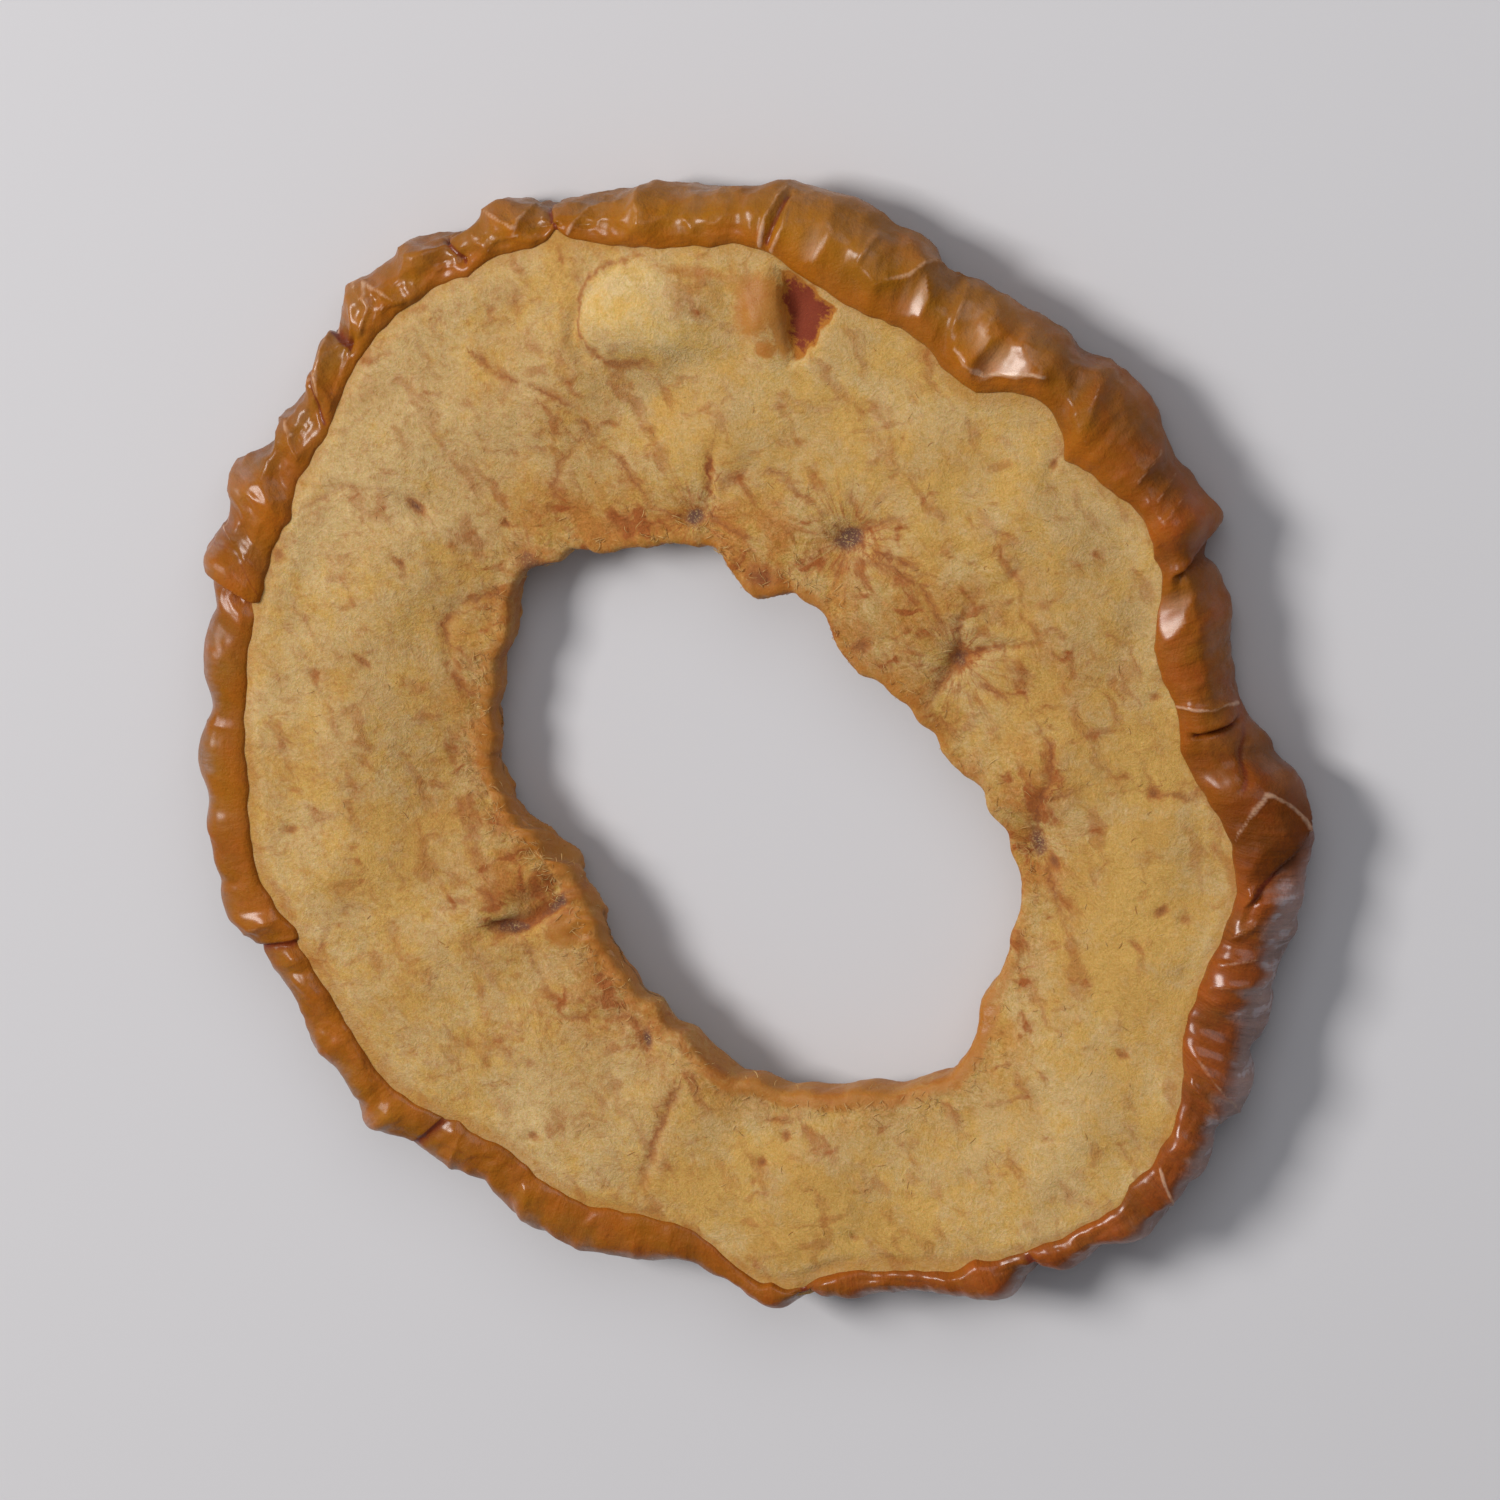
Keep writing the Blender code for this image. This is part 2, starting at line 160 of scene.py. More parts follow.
# Sharp creases of the skin: rise, less than 0 where it is cut in as a slit that gets painted shade, half
# width, how pale the crest is, a pale line that is partly the skin's own and partly a painted highlight, and
# the path as clock angle and climb
CREASES = (
    (0.3, 0.3, 0.65, ((125.5, 0.84), (128.5, 0.22), (128.7, 0.6), (131.5, 0.74))),
    (0.34, 0.32, 0.7, ((119.5, 0.1), (116.5, -0.15), (112.5, 0.4), (111, 0.58), (109.5, 0), (108.6, -0.2))),
    (-0.3, 0.16, 0, ((119.2, 0.1), (117.5, 0.8))),
    (-0.3, 0.14, 0, ((108.4, -0.2), (107, 1))),
    (0.26, 0.28, 0.6, ((106, 0.88), (105, 0.54), (103.5, 0.26), (100.5, 0.28))),
    (0.28, 0.34, 0.6, ((98.6, 0.05), (98, 0.6))),
    (0.18, 0.3, 0.4, ((93.5, 0.5), (92.4, 0.72))),
    (-0.22, 0.2, 0, ((84.5, 0.84), (83.7, 0.5), (83, 0.2))),
    (0.2, 0.22, 0.8, ((85.2, 0.9), (84.7, 0.5), (83.4, 0.1))),
    (0.16, 0.2, 0.7, ((84, 0.92), (82.8, 0.56), (82.6, 0.14))),
    (0.3, 0.3, 0.7, ((139, 0.66), (136.5, 0.44), (134.5, 0.1))),
    (-0.24, 0.22, 0, ((141, 0.9), (138.6, 0.3), (138, -0.3))),
    (0.24, 0.3, 0.5, ((146, 0.8), (144.5, 0.3), (146.5, -0.1))),
    (0.3, 0.34, 0.6, ((73.5, 0.3), (74.5, 0.6), (72, 0.66), (69, 0.46), (67, 0.06), (65, -0.14), (63, 0.16),
        (62.6, 0.5))),
    (0.26, 0.3, 0.7, ((61.5, 0.7), (57.5, 0.76), (53.5, 0.66), (51.5, 0.62))),
    (0.18, 0.34, 0.3, ((48, 0.66), (44.5, 0.72))),
    (0.16, 0.26, 0.6, ((37.4, 0.22), (36.6, 0.62))),
    (0.16, 0.26, 0.6, ((34.5, 0.16), (33.6, 0.56))),
    (0.14, 0.24, 0.5, ((32.2, 0.26), (31.4, 0.62))),
    (0.22, 0.24, 0.75, ((11, 0.98), (10.4, 0.75), (9.4, 0.5), (9.2, 0.3), (8.2, 0.08))),
    (0.16, 0.2, 0.75, ((355, 0.92), (357.4, 0.7), (359.6, 0.45), (357.6, 0.28), (355.3, 0.15))),
    (-0.2, 0.18, 0, ((5.5, 0.1), (3, 0.38), (0.4, 0.62))),
    (0.26, 0.28, 0.7, ((345.5, 0.6), (343.8, 0.86))),
    (0.22, 0.26, 0.6, ((341.6, 0.5), (340.4, 0.84))),
    (0.22, 0.26, 0.6, ((338.8, 0.46), (337.8, 0.8))),
    (-0.3, 0.22, 0, ((26.3, 0.34), (27.2, 0), (28.4, -0.34))),
    (-0.26, 0.2, 0, ((7, 0.78), (6.5, 0.2))),
    (0.18, 0.22, 0.6, ((329.5, 0.75), (327, 0.4), (324.5, 0))),
    (0.18, 0.22, 0.6, ((327, 0.8), (325, 0.44), (322, 0))),
    (0.22, 0.26, 0.8, ((316.8, 0.8), (314.6, 0.4), (312.5, 0))),
    (0.1, 0.28, 0.35, ((178.5, 0.2), (177.6, 1))),
    (0.2, 0.3, 0.5, ((201, 0.1), (199.4, 0.9))),
    (0.22, 0.28, 0.5, ((233.5, 0.2), (231.5, 0.9))),
    (-0.28, 0.26, 0, ((274.6, 0), (274, 1))),
    (-0.3, 0.26, 0, ((298.6, 0), (299.4, 0.9))),
)

# The half width of a crease's pale line, partly a painted highlight, and how deep a slit is where its painted
# shade is darkest
CREST_LINE = 0.15
FULL_SLIT = 0.3

# Facets cut flat across the skin: clock angle and climb of the middle, half length, depth below the skin
# there, slope of the flat to +X and to +Y, and how much it gleams, in gloss and in a painted milky highlight
FLATS = (
    (355.1, 0.55, 2.6, -0.05, 0.5, -0.34, 0), (66.2, 0.6, 0.9, 0.04, -0.16, 0.34, 1),
    (55, 0.66, 0.8, 0.04, -0.14, 0.28, 1), (59.4, 0.45, 0.3, 0.03, -0.22, 0.36, 1),
    (77.7, 0.6, 0.7, 0.04, -0.18, 0.34, 1), (99.3, 0.45, 0.4, 0.05, -0.22, 0.36, 1),
    (20.2, 0.84, 1.1, 0.06, -0.2, 0.24, 1),
)

# A flat's soft edge, how much of what stands above it is pressed down, the lowest climb that it reaches, and
# how much has to be pressed down before it gleams
FLAT_EDGE = 1.1
FLAT_SHARE = 0.85
FLAT_LOWEST = -0.4
GLEAM_DEPTH = 0.02

# Darker, duller places of the skin: clock angle, climb, half lengths round and across the ring, and strength
SHADES = (
    (355.1, 0.52, 2.8, 2.4, 1.25), (40, 0.35, 4.5, 1.2, 0.35), (24, 0.25, 1.6, 0.9, 0.35),
)

# Folds where one side of the skin lies over the other: clock angle, slant in degrees for each climb of 1,
# climb from and to, rise of the upper side, sink of the lower, lean, and 1 where the upper side is the one
# further round, else -1
FOLDS = (
    (27.3, -2.2, -0.5, 0.8, 0.42, 0.8, 0.4, 1), (6.9, 0.6, 0.08, 0.86, 0.3, 0.62, 0.28, 1),
    (357.1, -12, -0.1, 0.85, 0.36, 0.55, 0.4, 1), (162, 0.6, 0.05, 1.1, 0.36, 0.6, 0.34, -1),
    (228.6, 0, 0.15, 1.1, 0.12, 0.18, 0.1, -1), (202.4, 0, -0.3, 1.1, 0.16, 0.2, 0.14, -1),
    (135, -2, -0.3, 0.9, 0.2, 0.4, 0.22, 1),
)

# Across a fold: half width of the step, how far its rise, sink and lean run out, and the painted shade of the
# dark slit on its lower side and at its edge; and over what climb it fades in and out
FOLD_STEP = 0.14
RISE_RUN = 1.9
SINK_RUN = 0.8
LEAN_RUN = 1.3
SLIT_RUN = 0.55
SLIT_EDGE = 0.16
FOLD_FADE_IN = 0.25
FOLD_FADE_OUT = 0.2

# Crumpled facets of three sizes: length, width, how far they are bent round and across the ring, seed, how
# deep they are and how pale their crests, a paleness that is partly a painted highlight; and the half width
# of a crest
FACET_SIZES = (
    (3.4, 2.6, 0.8, 0.9, 61, 0.62, 0.6), (1.6, 1.5, -0.5, -0.4, 62, 0.32, 0.28),
    (0.9, 0.8, 0.3, 0.3, 63, 0.12, 0.1),
)
FACET_CREST = 0.07

# The mean level of a facet's bowl and of a bulge, how high large and small bulges stand, how rounded the
# valleys between them are, and how high the fine cross wrinkles stand
BOWL_LEVEL = 0.25
BULGE_LEVEL = 0.3
BULGE_RISE = 0.42
SMALL_BULGE_RISE = 0.15
VALLEY_ROUNDING = 0.004
WRINKLE_RISE = 0.09

# How crumpled the skin is round the ring, how deep its facets sink between sharp crests, how strong its
# fine cross wrinkles are, and how red its amber is
CRUMPLE = (
    (0, 0.3), (12, 0.2), (30, 0.15), (50, 0.1), (98, 0.1), (125, 0.25), (150, 0.5), (161, 0.9), (168, 0.15),
    (185, 0.1), (195, 0.55), (215, 0.7), (240, 0.7), (252, 0.25), (285, 0.35), (315, 0.4), (345, 0.25),
)
FACETS = (
    (0, 0.5), (15, 0.4), (32, 0.4), (45, 0.9), (60, 0.8), (80, 0.7), (98, 0.9), (112, 1.2), (150, 1.2),
    (162, 0.9), (168, 0.25), (185, 0.15), (205, 0.35), (215, 0.5), (240, 0.5), (260, 0.35), (290, 0.4),
    (320, 0.4), (345, 0.3),
)
CROSS_WRINKLES = (
    (0, 0.35), (20, 0.35), (34, 0.2), (45, 0.15), (95, 0.1), (130, 0.25), (165, 0.15), (200, 0.2),
    (225, 0.25), (240, 0.25), (270, 0.4), (290, 0.7), (315, 1), (345, 1),
)
REDNESS = (
    (0, 0.75), (12, 0.62), (22, 0.62), (30, 0.75), (44, 0.45), (58, 0.15), (80, 0), (98, 0.05), (115, 0.25),
    (135, 0.2), (160, 0.45), (180, 0.3), (205, 0.35), (240, 0.35), (262, 0.55), (285, 0.8), (320, 1),
    (342, 1),
)

# How dull and dark the skin's outer side is round the ring
DULLNESS = (
    (0, 0.25), (25, 0.15), (45, 0.3), (60, 0.25), (90, 0.2), (110, 0.3), (140, 0.5), (180, 0.8), (220, 0.9),
    (260, 0.9), (300, 0.9), (340, 1),
)

# How far the skin's bulge by its upper lip is pressed level with the flesh, with the groove beside it filled;
# and by how much, at what climb, and over what half width
LEVELLED = (
    (0, 0.3), (20, 0.2), (40, 0), (70, 0.1), (98, 0.6), (110, 0.9), (130, 0.9), (150, 0.8), (166, 0.9),
    (190, 1), (215, 0.9), (240, 0.7), (262, 0.8), (290, 0.7), (310, 0.7), (330, 0.4), (345, 0.3),
)
LEVEL_SINK = 0.5
LEVEL_CLIMB = 0.68
LEVEL_WIDTH = 0.3

# How far the skin's outer line is moved out, and its upper lip in over the flesh, from the plain form
SKIN_OUT = (
    (0, 0), (8, -0.1), (15, -0.4), (22, -0.2), (30, 0), (60, 0), (100, 0), (140, 0), (156, 0), (162, 0.3),
    (168, 0.15), (173, -0.1), (180, 0.3), (197, 0.4), (206, 0.2), (213.5, 0.85), (219, 0.3), (226, 1),
    (231, 0.65), (238, 0.35), (248, 0.6), (257, 0.35), (268, 0.1), (280, 0.35), (292, 0.3), (302, 0),
    (308, 0.1), (314, 0.6), (318, 0.2), (323, 0.5), (327.5, 0.3), (331.8, 0.7), (336.5, 0), (341.5, 0.6),
    (347, -0.3), (354, -0.1),
)
LIP_IN = (
    (0, 0.1), (8, 0.3), (12, 0.7), (17, 1.1), (21, 0.8), (25, 0.3), (29, 0), (46, 0), (51, -0.3), (57, -0.7),
    (62, -0.35), (68, 0), (100, 0), (140, 0), (170, 0), (192, -0.25), (215, -0.45), (240, -0.45), (255, -0.1),
    (267, -0.2), (272, -0.62), (276, -0.4), (283, -0.6), (291, -0.5), (300, 0), (318, 0), (325, -0.5),
    (332, 0), (345, -0.2),
)

# How much grey lilac bloom lies on its outer side, with a painted sheen along its outer rim
BLOOM_AND_SHEEN = (
    (0, 0.2), (20, 0.05), (45, 0.1), (80, 0.08), (105, 0.05), (135, 0.1), (155, 0.28), (175, 0.5),
    (200, 0.25), (215, 0.5), (240, 0.4), (270, 0.35), (298, 0.8), (325, 1.1), (348, 1.2),
)

# Towards its lips: from what climb its creases calm down, by how much, and how far the lip lifts off; and
# how far the upper lip wanders in and out: reach, length and seed of each noise
LIP_START = 0.72
LIP_CALM = 0.75
LIP_LIFT = 0.03
LIP_WANDER = ((0.16, 3.1, 37), (0.1, 1.1, 38))

# Where the skin's upper lip runs out in a tip or back in a notch: clock angle, half width and reach
LIP_TIPS = (
    (44.5, 1.5, 0.55), (57.5, 1.6, 0.3), (28.5, 1.5, 0.55), (107.2, 1, -0.55), (118, 1, 0.3), (152, 1.6, 0.3),
    (62.5, 1, 0.15), (230, 1.5, 0.35), (201, 1.2, 0.25), (294, 1.2, 0.35), (270.5, 1.2, 0.4), (313, 1, 0.3),
)

# Veins that show on the cut face: strength and path
VEINS = (
    (0.6, ((-13.3, 21), (-12.4, 20.3), (-11, 19.7), (-9.3, 19.2), (-8.1, 18.4), (-7.3, 16.9), (-6, 15.7),
        (-5, 14.3), (-3.8, 13), (-2.6, 12.5))),
    (0.45, ((-11.1, 19.7), (-10.6, 18.3))),
    (0.45, ((-8.2, 16.5), (-9.1, 15.6), (-9.7, 13.8), (-9.6, 12.8))),
    (0.95, ((-1.7, 12.9), (-1.3, 13.8), (-1.1, 15.4), (-0.7, 17))),
    (0.5, ((-1.6, 13), (0.4, 12), (2, 11.6))),
    (0.35, ((-23.1, 12.6), (-20.8, 13.9), (-18.6, 13.6), (-17.4, 13.2))),
    (0.4, ((-26.7, -0.3), (-24.8, -0.4))),
    (0.6, ((-12.4, 8.4), (-15.1, 7.6), (-16.1, 6.4), (-15.9, 4.2), (-15.2, 2.8), (-14.2, 1.9))),
    (0.4, ((-23.3, -10.9), (-22.7, -9.9), (-21.8, -8.8), (-20.3, -9))),
    (0.45, ((-16.9, -8.8), (-15.7, -8.5))),
    (0.5, ((-16.3, -6.9), (-14, -8), (-13.6, -9.3))),
    (1.3, ((-14, -9.6), (-12.3, -9.5), (-11, -8.6), (-9, -7.4), (-8.2, -7))),
    (0.5, ((-12.2, -10.7), (-11.4, -12.7), (-10.1, -14.4), (-6.9, -14.2), (-5.9, -15.2))),
    (0.55, ((-3.6, -14.7), (-2.9, -15.8), (-2.2, -17))),
    (0.65, ((-4.3, -17.9), (-5.5, -20.4), (-6.8, -23.9))),
    (0.9, ((6.1, 12), (7.4, 12.8), (8.7, 13.3))),
    (0.8, ((6.1, 12), (8.2, 11.4), (10.3, 10.5))),
    (0.7, ((6.1, 12), (4.6, 13.7), (2.9, 15.1))),
    (0.45, ((6.1, 12), (5.8, 10.8), (5.2, 9.4))),
    (0.9, ((11.6, 5.7), (13.4, 6.6), (16, 7))),
    (0.75, ((11.6, 5.7), (11.9, 7.8), (12.8, 9.4))),
    (0.7, ((11.6, 5.7), (10.6, 4.4), (9.9, 3.2))),
    (0.65, ((11.6, 5.7), (13, 4.4), (14.6, 3.6))),
    (0.75, ((15.3, -3.4), (15.5, -1.9), (16.3, -0.4), (16.4, 1.6), (15.4, 3.2))),
    (0.55, ((16.3, -1.4), (17.9, -0.7))),
    (0.6, ((15.7, -5.2), (16.2, -6.9), (16.6, -8.1))),
    (0.5, ((21.7, -0.8), (23.2, -0.9), (24.5, -1.2))),
    (0.45, ((21.7, -0.8), (21.2, 0.8))),
    (0.45, ((-0.5, 14.4), (1.2, 15.8), (3, 15.3), (4.9, 13.2))),
    (0.5, ((6.5, 11), (8.5, 10.8), (10.2, 9.5), (11.3, 7.2))),
    (0.35, ((12.2, -21.4), (12.3, -23.5))),
    (0.45, ((13, -20.7), (13.9, -21.3), (14.5, -22.1))),
)

# Small marks: x, y, half length, half width, turn in degrees, brown, and plum
MARKS = (
    (-15.3, 22.8, 0.9, 0.18, 0, 0.6, 0), (-12.4, 23.5, 0.4, 0.3, 40, 0.6, 0),
    (-10, 24.1, 0.55, 0.16, 12, 0.5, 0), (-11.6, 15.8, 0.45, 0.22, -30, 0.6, 0),
    (-17.1, 12.8, 0.75, 0.3, -38, 1, 0.55), (-12.4, 11.9, 0.34, 0.2, -50, 0.8, 0.2),
    (-18, 9.9, 0.6, 0.24, -45, 0.8, 0.1), (-24.7, 10.1, 0.45, 0.55, 0, 0.7, 0),
    (-20.4, 4.5, 0.75, 0.24, -40, 0.75, 0), (-22.9, 3.6, 0.32, 0.7, 0, 0.45, 0),
    (-20.4, -0.9, 0.3, 0.35, 0, 0.5, 0.1), (-24.4, -2.5, 0.6, 0.25, 0, 0.5, 0),
    (-24.7, -4.7, 0.55, 0.3, 20, 0.7, 0.15), (-21.2, -5.4, 0.5, 0.22, 25, 0.5, 0),
    (-12.4, -21, 0.28, 0.28, 30, 0.9, 0.1), (0.1, -21.7, 0.3, 0.3, 0, 0.8, 0.1),
    (1.4, -20.3, 0.36, 0.3, 0, 0.7, 0), (-0.4, -22.8, 0.2, 0.25, 0, 0.5, 0),
    (-8.4, -23.7, 0.28, 0.24, 0, 0.5, 0), (-15.6, -16.1, 0.5, 0.4, 0, 0.4, 0),
    (-12.3, -17, 0.6, 0.45, 30, 0.45, 0), (1.4, 9.8, 0.95, 0.75, -20, 0.95, 0),
    (6.6, 6.4, 0.8, 0.5, 30, 0.8, 0), (21.7, -0.8, 0.45, 0.4, 0, 0.8, 0), (22, -7, 0.5, 0.3, 30, 0.9, 0),
    (23.2, -7.4, 0.4, 0.28, 0, 0.6, 0), (20.6, -9, 0.6, 0.24, -40, 0.7, 0),
    (19.6, -14.8, 0.5, 0.36, 0, 0.6, 0.3), (4.9, -25.5, 0.4, 0.24, -20, 0.5, 0),
    (6.6, -19.7, 0.34, 0.28, -30, 0.5, 0.1), (15.6, -19.5, 0.6, 0.22, 0, 0.5, 0),
    (17.2, 16.5, 0.5, 0.22, 65, 0.8, 0), (14.6, 12.8, 0.6, 0.2, -15, 0.6, 0),
    (15, 10.7, 0.7, 0.22, 45, 0.5, 0), (22, 4.3, 0.35, 0.25, 0, 0.7, 0), (18.7, 2, 0.5, 0.2, -30, 0.4, 0),
    (6.1, 12, 0.85, 0.6, 20, 0.8, 1), (11.6, 5.7, 0.8, 0.5, 60, 1, 0.6), (-2.2, 12.7, 0.7, 0.5, 30, 0.8, 0.9),
    (15.3, -4, 0.5, 0.95, 15, 0.6, 0.8), (16.1, -4.9, 0.35, 0.6, 25, 1, 0.2),
    (-5.9, -15.4, 0.32, 0.7, 10, 0.8, 0.8), (-11.2, 9.7, 1.1, 0.8, -35, 0.8, 0.75),
    (-14.2, -0.6, 0.5, 0.5, 0, 0.5, 0.75), (-13, -9.7, 1.2, 0.42, 5, 0.9, 0.7),
    (-10.4, -8.2, 1.7, 0.36, 34, 1.2, 0.7), (-4.9, -13.4, 0.7, 0.4, -40, 0.8, 0.5),
    (2.4, 22.1, 0.4, 0.35, 0, 0.6, 0), (8.8, 15.6, 0.5, 0.18, 30, 0.45, 0),
    (-6.7, 21.6, 0.5, 0.3, 60, 0.6, 0.1), (9.5, 17.8, 0.5, 0.16, 75, 0.4, 0),
)

# Scars of the bundles round the core, from which the flesh fans out: x, y, reach and strength
SCARS = (
    (6.1, 12, 3.4, 1), (11.6, 5.7, 3.2, 1), (-2.2, 12.7, 3, 0.9), (15.3, -4, 3, 0.7), (-5.9, -15.4, 2.6, 0.5),
    (-11.2, 9.7, 3, 0.6), (-14.2, -0.6, 3, 0.5), (-12.4, -9, 2.6, 0.5),
)

# Glassy amber places: x, y, half length, half width, turn in degrees, strength
AMBER_PLACES = (
    (-10, -9.7, 1.3, 1, 30, 1.3), (12.4, -13.5, 0.6, 1.2, -35, 0.9), (4.6, -17.2, 1.5, 0.5, 5, 0.9),
    (1.9, 24.3, 1.2, 2, -12, 1.05), (2.45, 22.1, 0.6, 0.5, 0, 1.3), (3.1, 23.8, 0.5, 2.2, 8, 1.4),
    (-1.2, 25.9, 3.2, 0.5, -6, 0.7), (-1.4, 11.4, 1, 0.5, 15, 0.6), (0.8, 12.6, 1.8, 0.8, 10, 0.35),
    (-12.6, -4.2, 0.6, 2, 25, 0.6),
)

# Warm tan regions of the cut face: x, y, half widths and strength
WARM_PLACES = (
    (0.5, 11.8, 5.5, 2.2, 0.85), (8.5, 8.6, 4, 3.6, 0.6), (-8.5, 12.6, 4, 2.4, 0.5),
    (-14.2, 3, 1.8, 4.5, 0.45), (-13, -7, 2.6, 3.6, 0.6), (-8.6, -13.2, 3.6, 2.2, 0.45),
    (15.4, -1.5, 2.2, 5, 0.55), (0.5, 24.8, 3, 1.2, 0.25), (13, 9, 3.6, 4, 0.35), (-7.5, 17, 3, 3, 0.3),
    (16, 6, 4, 3, 0.35), (13.6, -14.4, 2.5, 3, 0.18), (-16, -1.5, 2.5, 3, 0.25),
)

# Regions where its hue is more golden, or greyer where less than 0: x, y, half widths and strength
GOLDEN_PLACES = (
    (13.5, 10.5, 5.5, 7.5, 0.4), (17.5, 13.5, 3.5, 3.5, -0.8), (-12, -8, 3, 3, 0.8), (-4.3, 13.7, 6, 3, 0.5),
    (1.5, 25, 3, 2, 0.9), (-9.8, -16.7, 5, 4, -0.3), (22, 0, 3, 4, 1.3), (-23.5, 3, 4.5, 9, -0.4),
    (-19, 17.5, 6, 6, -1.6), (-5, 20.5, 7, 3, -0.3), (-0.5, -24.5, 8, 2.5, 1.4), (-11.4, -21, 4, 3, -1),
    (-20, -5, 3, 3.5, 1.2), (18.5, -20, 4.5, 5, -0.5), (20, -9, 3, 4, 1.8),
)

# Where the flesh has torn from the skin: the corners of the dark red hollow, how round they are, its depth,
# its slope, how much steeper it is towards its left side, as x from and to, and how its sides wander
TEAR_CORNERS = ((3.0, 26.6), (6.4, 24.3), (3.7, 20.9))
TEAR_ROUNDING = 0.22
TEAR_DEPTH = 0.32
TEAR_SLOPE = 0.8
TEAR_STEEPER = 2.4
TEAR_STEEP_SIDE = (4.8, 3.8)
TEAR_WANDER = 0.24
TEAR_WANDER_SIZE = 0.8

# The swelling beside it: its middle, half length and half width; its height, and how its edge wanders
BLISTER = (-3.7, 23.6, 4.2, 2.9)
BLISTER_RISE = 0.6
BLISTER_WANDER = 0.16

# Relief of the marks: depth and half width of a vein, depths of brown and plum marks, rise of amber places
VEIN_DEPTH = 0.16
VEIN_HALF_WIDTH = 0.32
BROWN_DEPTH = 0.14
PLUM_DEPTH = 0.22
AMBER_RISE = 0.1

# Lips and furrows of the cut face beside the tear and at the crease: rise, half width and path
FACE_RIDGES = (
    (0.14, 0.45, ((2.5, 26.3), (2.5, 25.3), (2.7, 24.2), (2.8, 23), (2.9, 21.9))),
    (0.12, 0.35, ((0.9, 25.8), (1.6, 24.8), (1.9, 23.8), (1.8, 22.6))),
    (-0.16, 0.35, ((1.9, 22.7), (2.5, 22.6), (3, 21.9))),
    (-0.34, 0.3, ((-5.6, 26), (-7, 24.6), (-7.9, 23.2), (-8, 22), (-7.4, 21.2))),
    (-0.18, 0.3, ((-13.8, -9.6), (-12.3, -9.5), (-11, -8.6), (-9, -7.4))),
    (0.16, 0.45, ((-13.2, -8.9), (-11.9, -8.6), (-10.9, -7.8), (-9.2, -6.7))),
)

# Noise on the upper face, the underside and the hole's wall: height, size and seed of each layer
FACE_NOISE = ((0.06, 2.6, 41), (0.035, 1.2, 42), (0.02, 0.6, 43))
UNDERSIDE_NOISE = ((0.09, 2.2, 44), (0.05, 1, 45))
WALL_NOISE = ((0.14, 2.1, 51), (0.12, 0.9, 52), (0.09, 0.42, 53))

# The flesh is warmer towards the hole: by how much, and over what half width
WARM_RIM = 0.4
WARM_RIM_WIDTH = 2.2

# Where the hole's rim is amber: clock angle and strength
RIM_AMBER = (
    (0, 0.25), (20, 0.35), (40, 0.6), (60, 0.45), (80, 0.7), (95, 0.5), (115, 0.25), (135, 0.3), (155, 0.6),
    (170, 0.9), (185, 1), (205, 0.6), (222, 1), (238, 0.5), (255, 0.5), (270, 0.75), (285, 0.9), (300, 0.6),
    (316, 0.9), (330, 0.3),
)

# How square the hole's upper edge is: the power of its superellipse
EDGE_POWER = 5

# Where the hole's wall is frayed: clock angle about the hole's centre and strength
FRAY = (
    (0, 0.3), (40, 0.35), (75, 0.8), (100, 0.9), (130, 0.7), (150, 0.8), (172, 1.2), (190, 1.5), (208, 1.4),
    (230, 0.7), (262, 0.4), (300, 0.5), (340, 0.3),
)

# Rows across the grids: of the skin under and over its outermost line and along its inner face; and of the
# flesh on its upper face, its wall and its underside, with the stations where it lies hidden in the skin
SKIN_ROWS_UNDER = 16
SKIN_ROWS_OVER = 31
SKIN_ROWS_INSIDE = 11
FACE_ROWS = 56
WALL_ROWS = 11
UNDERSIDE_ROWS = 34
HIDDEN_STATIONS = (0, 1.3, 2.6, 3.6, 4.3, 4.75, 4.96)

# Stations from a lip over which the flesh takes on its relief
RELIEF_START = 0.35

# Shreds of core lining on the hole's wall: clock angle about the ring's middle, station, length, width, lift
# off the wall, and slant in stations
LINING = (
    (222, 13.6, 2.2, 1.8, 0.05, 0.2), (183, 13.9, 2, 1.4, 0.05, 0.2), (170, 14.2, 1.6, 1.2, 0.05, -0.2),
    (286, 13.2, 2.6, 1, 0.06, 0.2), (281, 13.8, 1.6, 1.2, 0.05, -0.3), (312, 13.3, 2, 1, 0.06, -0.2),
    (84, 13.4, 1.8, 1.2, 0.05, -0.3), (40, 13.8, 1.6, 1, 0.05, 0.3),
)

# Their radius about the ring's middle, stations in a millimetre across, half thickness, how far they curl in
# lengthwise and crosswise, and their grid
LINING_RADIUS = 12
LINING_STATIONS = 0.62
LINING_THICKNESS = 0.07
LINING_CURL = (0.12, 0.1)
LINING_ROUNDS = 24
LINING_ROWS = 16

# Loose fibres: sides and rings of each, radius, and shortest and longest length; the share that stands at the
# hole; their stations and rises, first at the hole and then on the face; and how much they bend
FIBRE_SIDES = 3
FIBRE_RINGS = 6
FIBRE_RADIUS = 0.017
FIBRE_LENGTHS = (0.25, 0.8)
FIBRES_AT_HOLE = 0.9
FIBRE_STATIONS = ((11.6, 13.8), (5.6, 11.6))
FIBRE_RISES = ((0.02, 0.2), (0, 0.04))
FIBRE_BEND = 1.1

# The felt's grain: how far and over what length it is bent, its directions, size and stretch
FELT_BEND = 1.1
FELT_TURNS = (10, 70, 130)
FELT_SIZE = 0.17
FELT_STRETCH = 2.3

# What the flesh's colour is multiplied by where it is palest and where it is most golden, and by its flecks
PALE_TINT = (1.03, 1.10, 1.44, 1)
GOLDEN_TINT = (0.985, 0.90, 0.69, 1)
FLECK_TINT = (0.92, 1.00, 1.95)

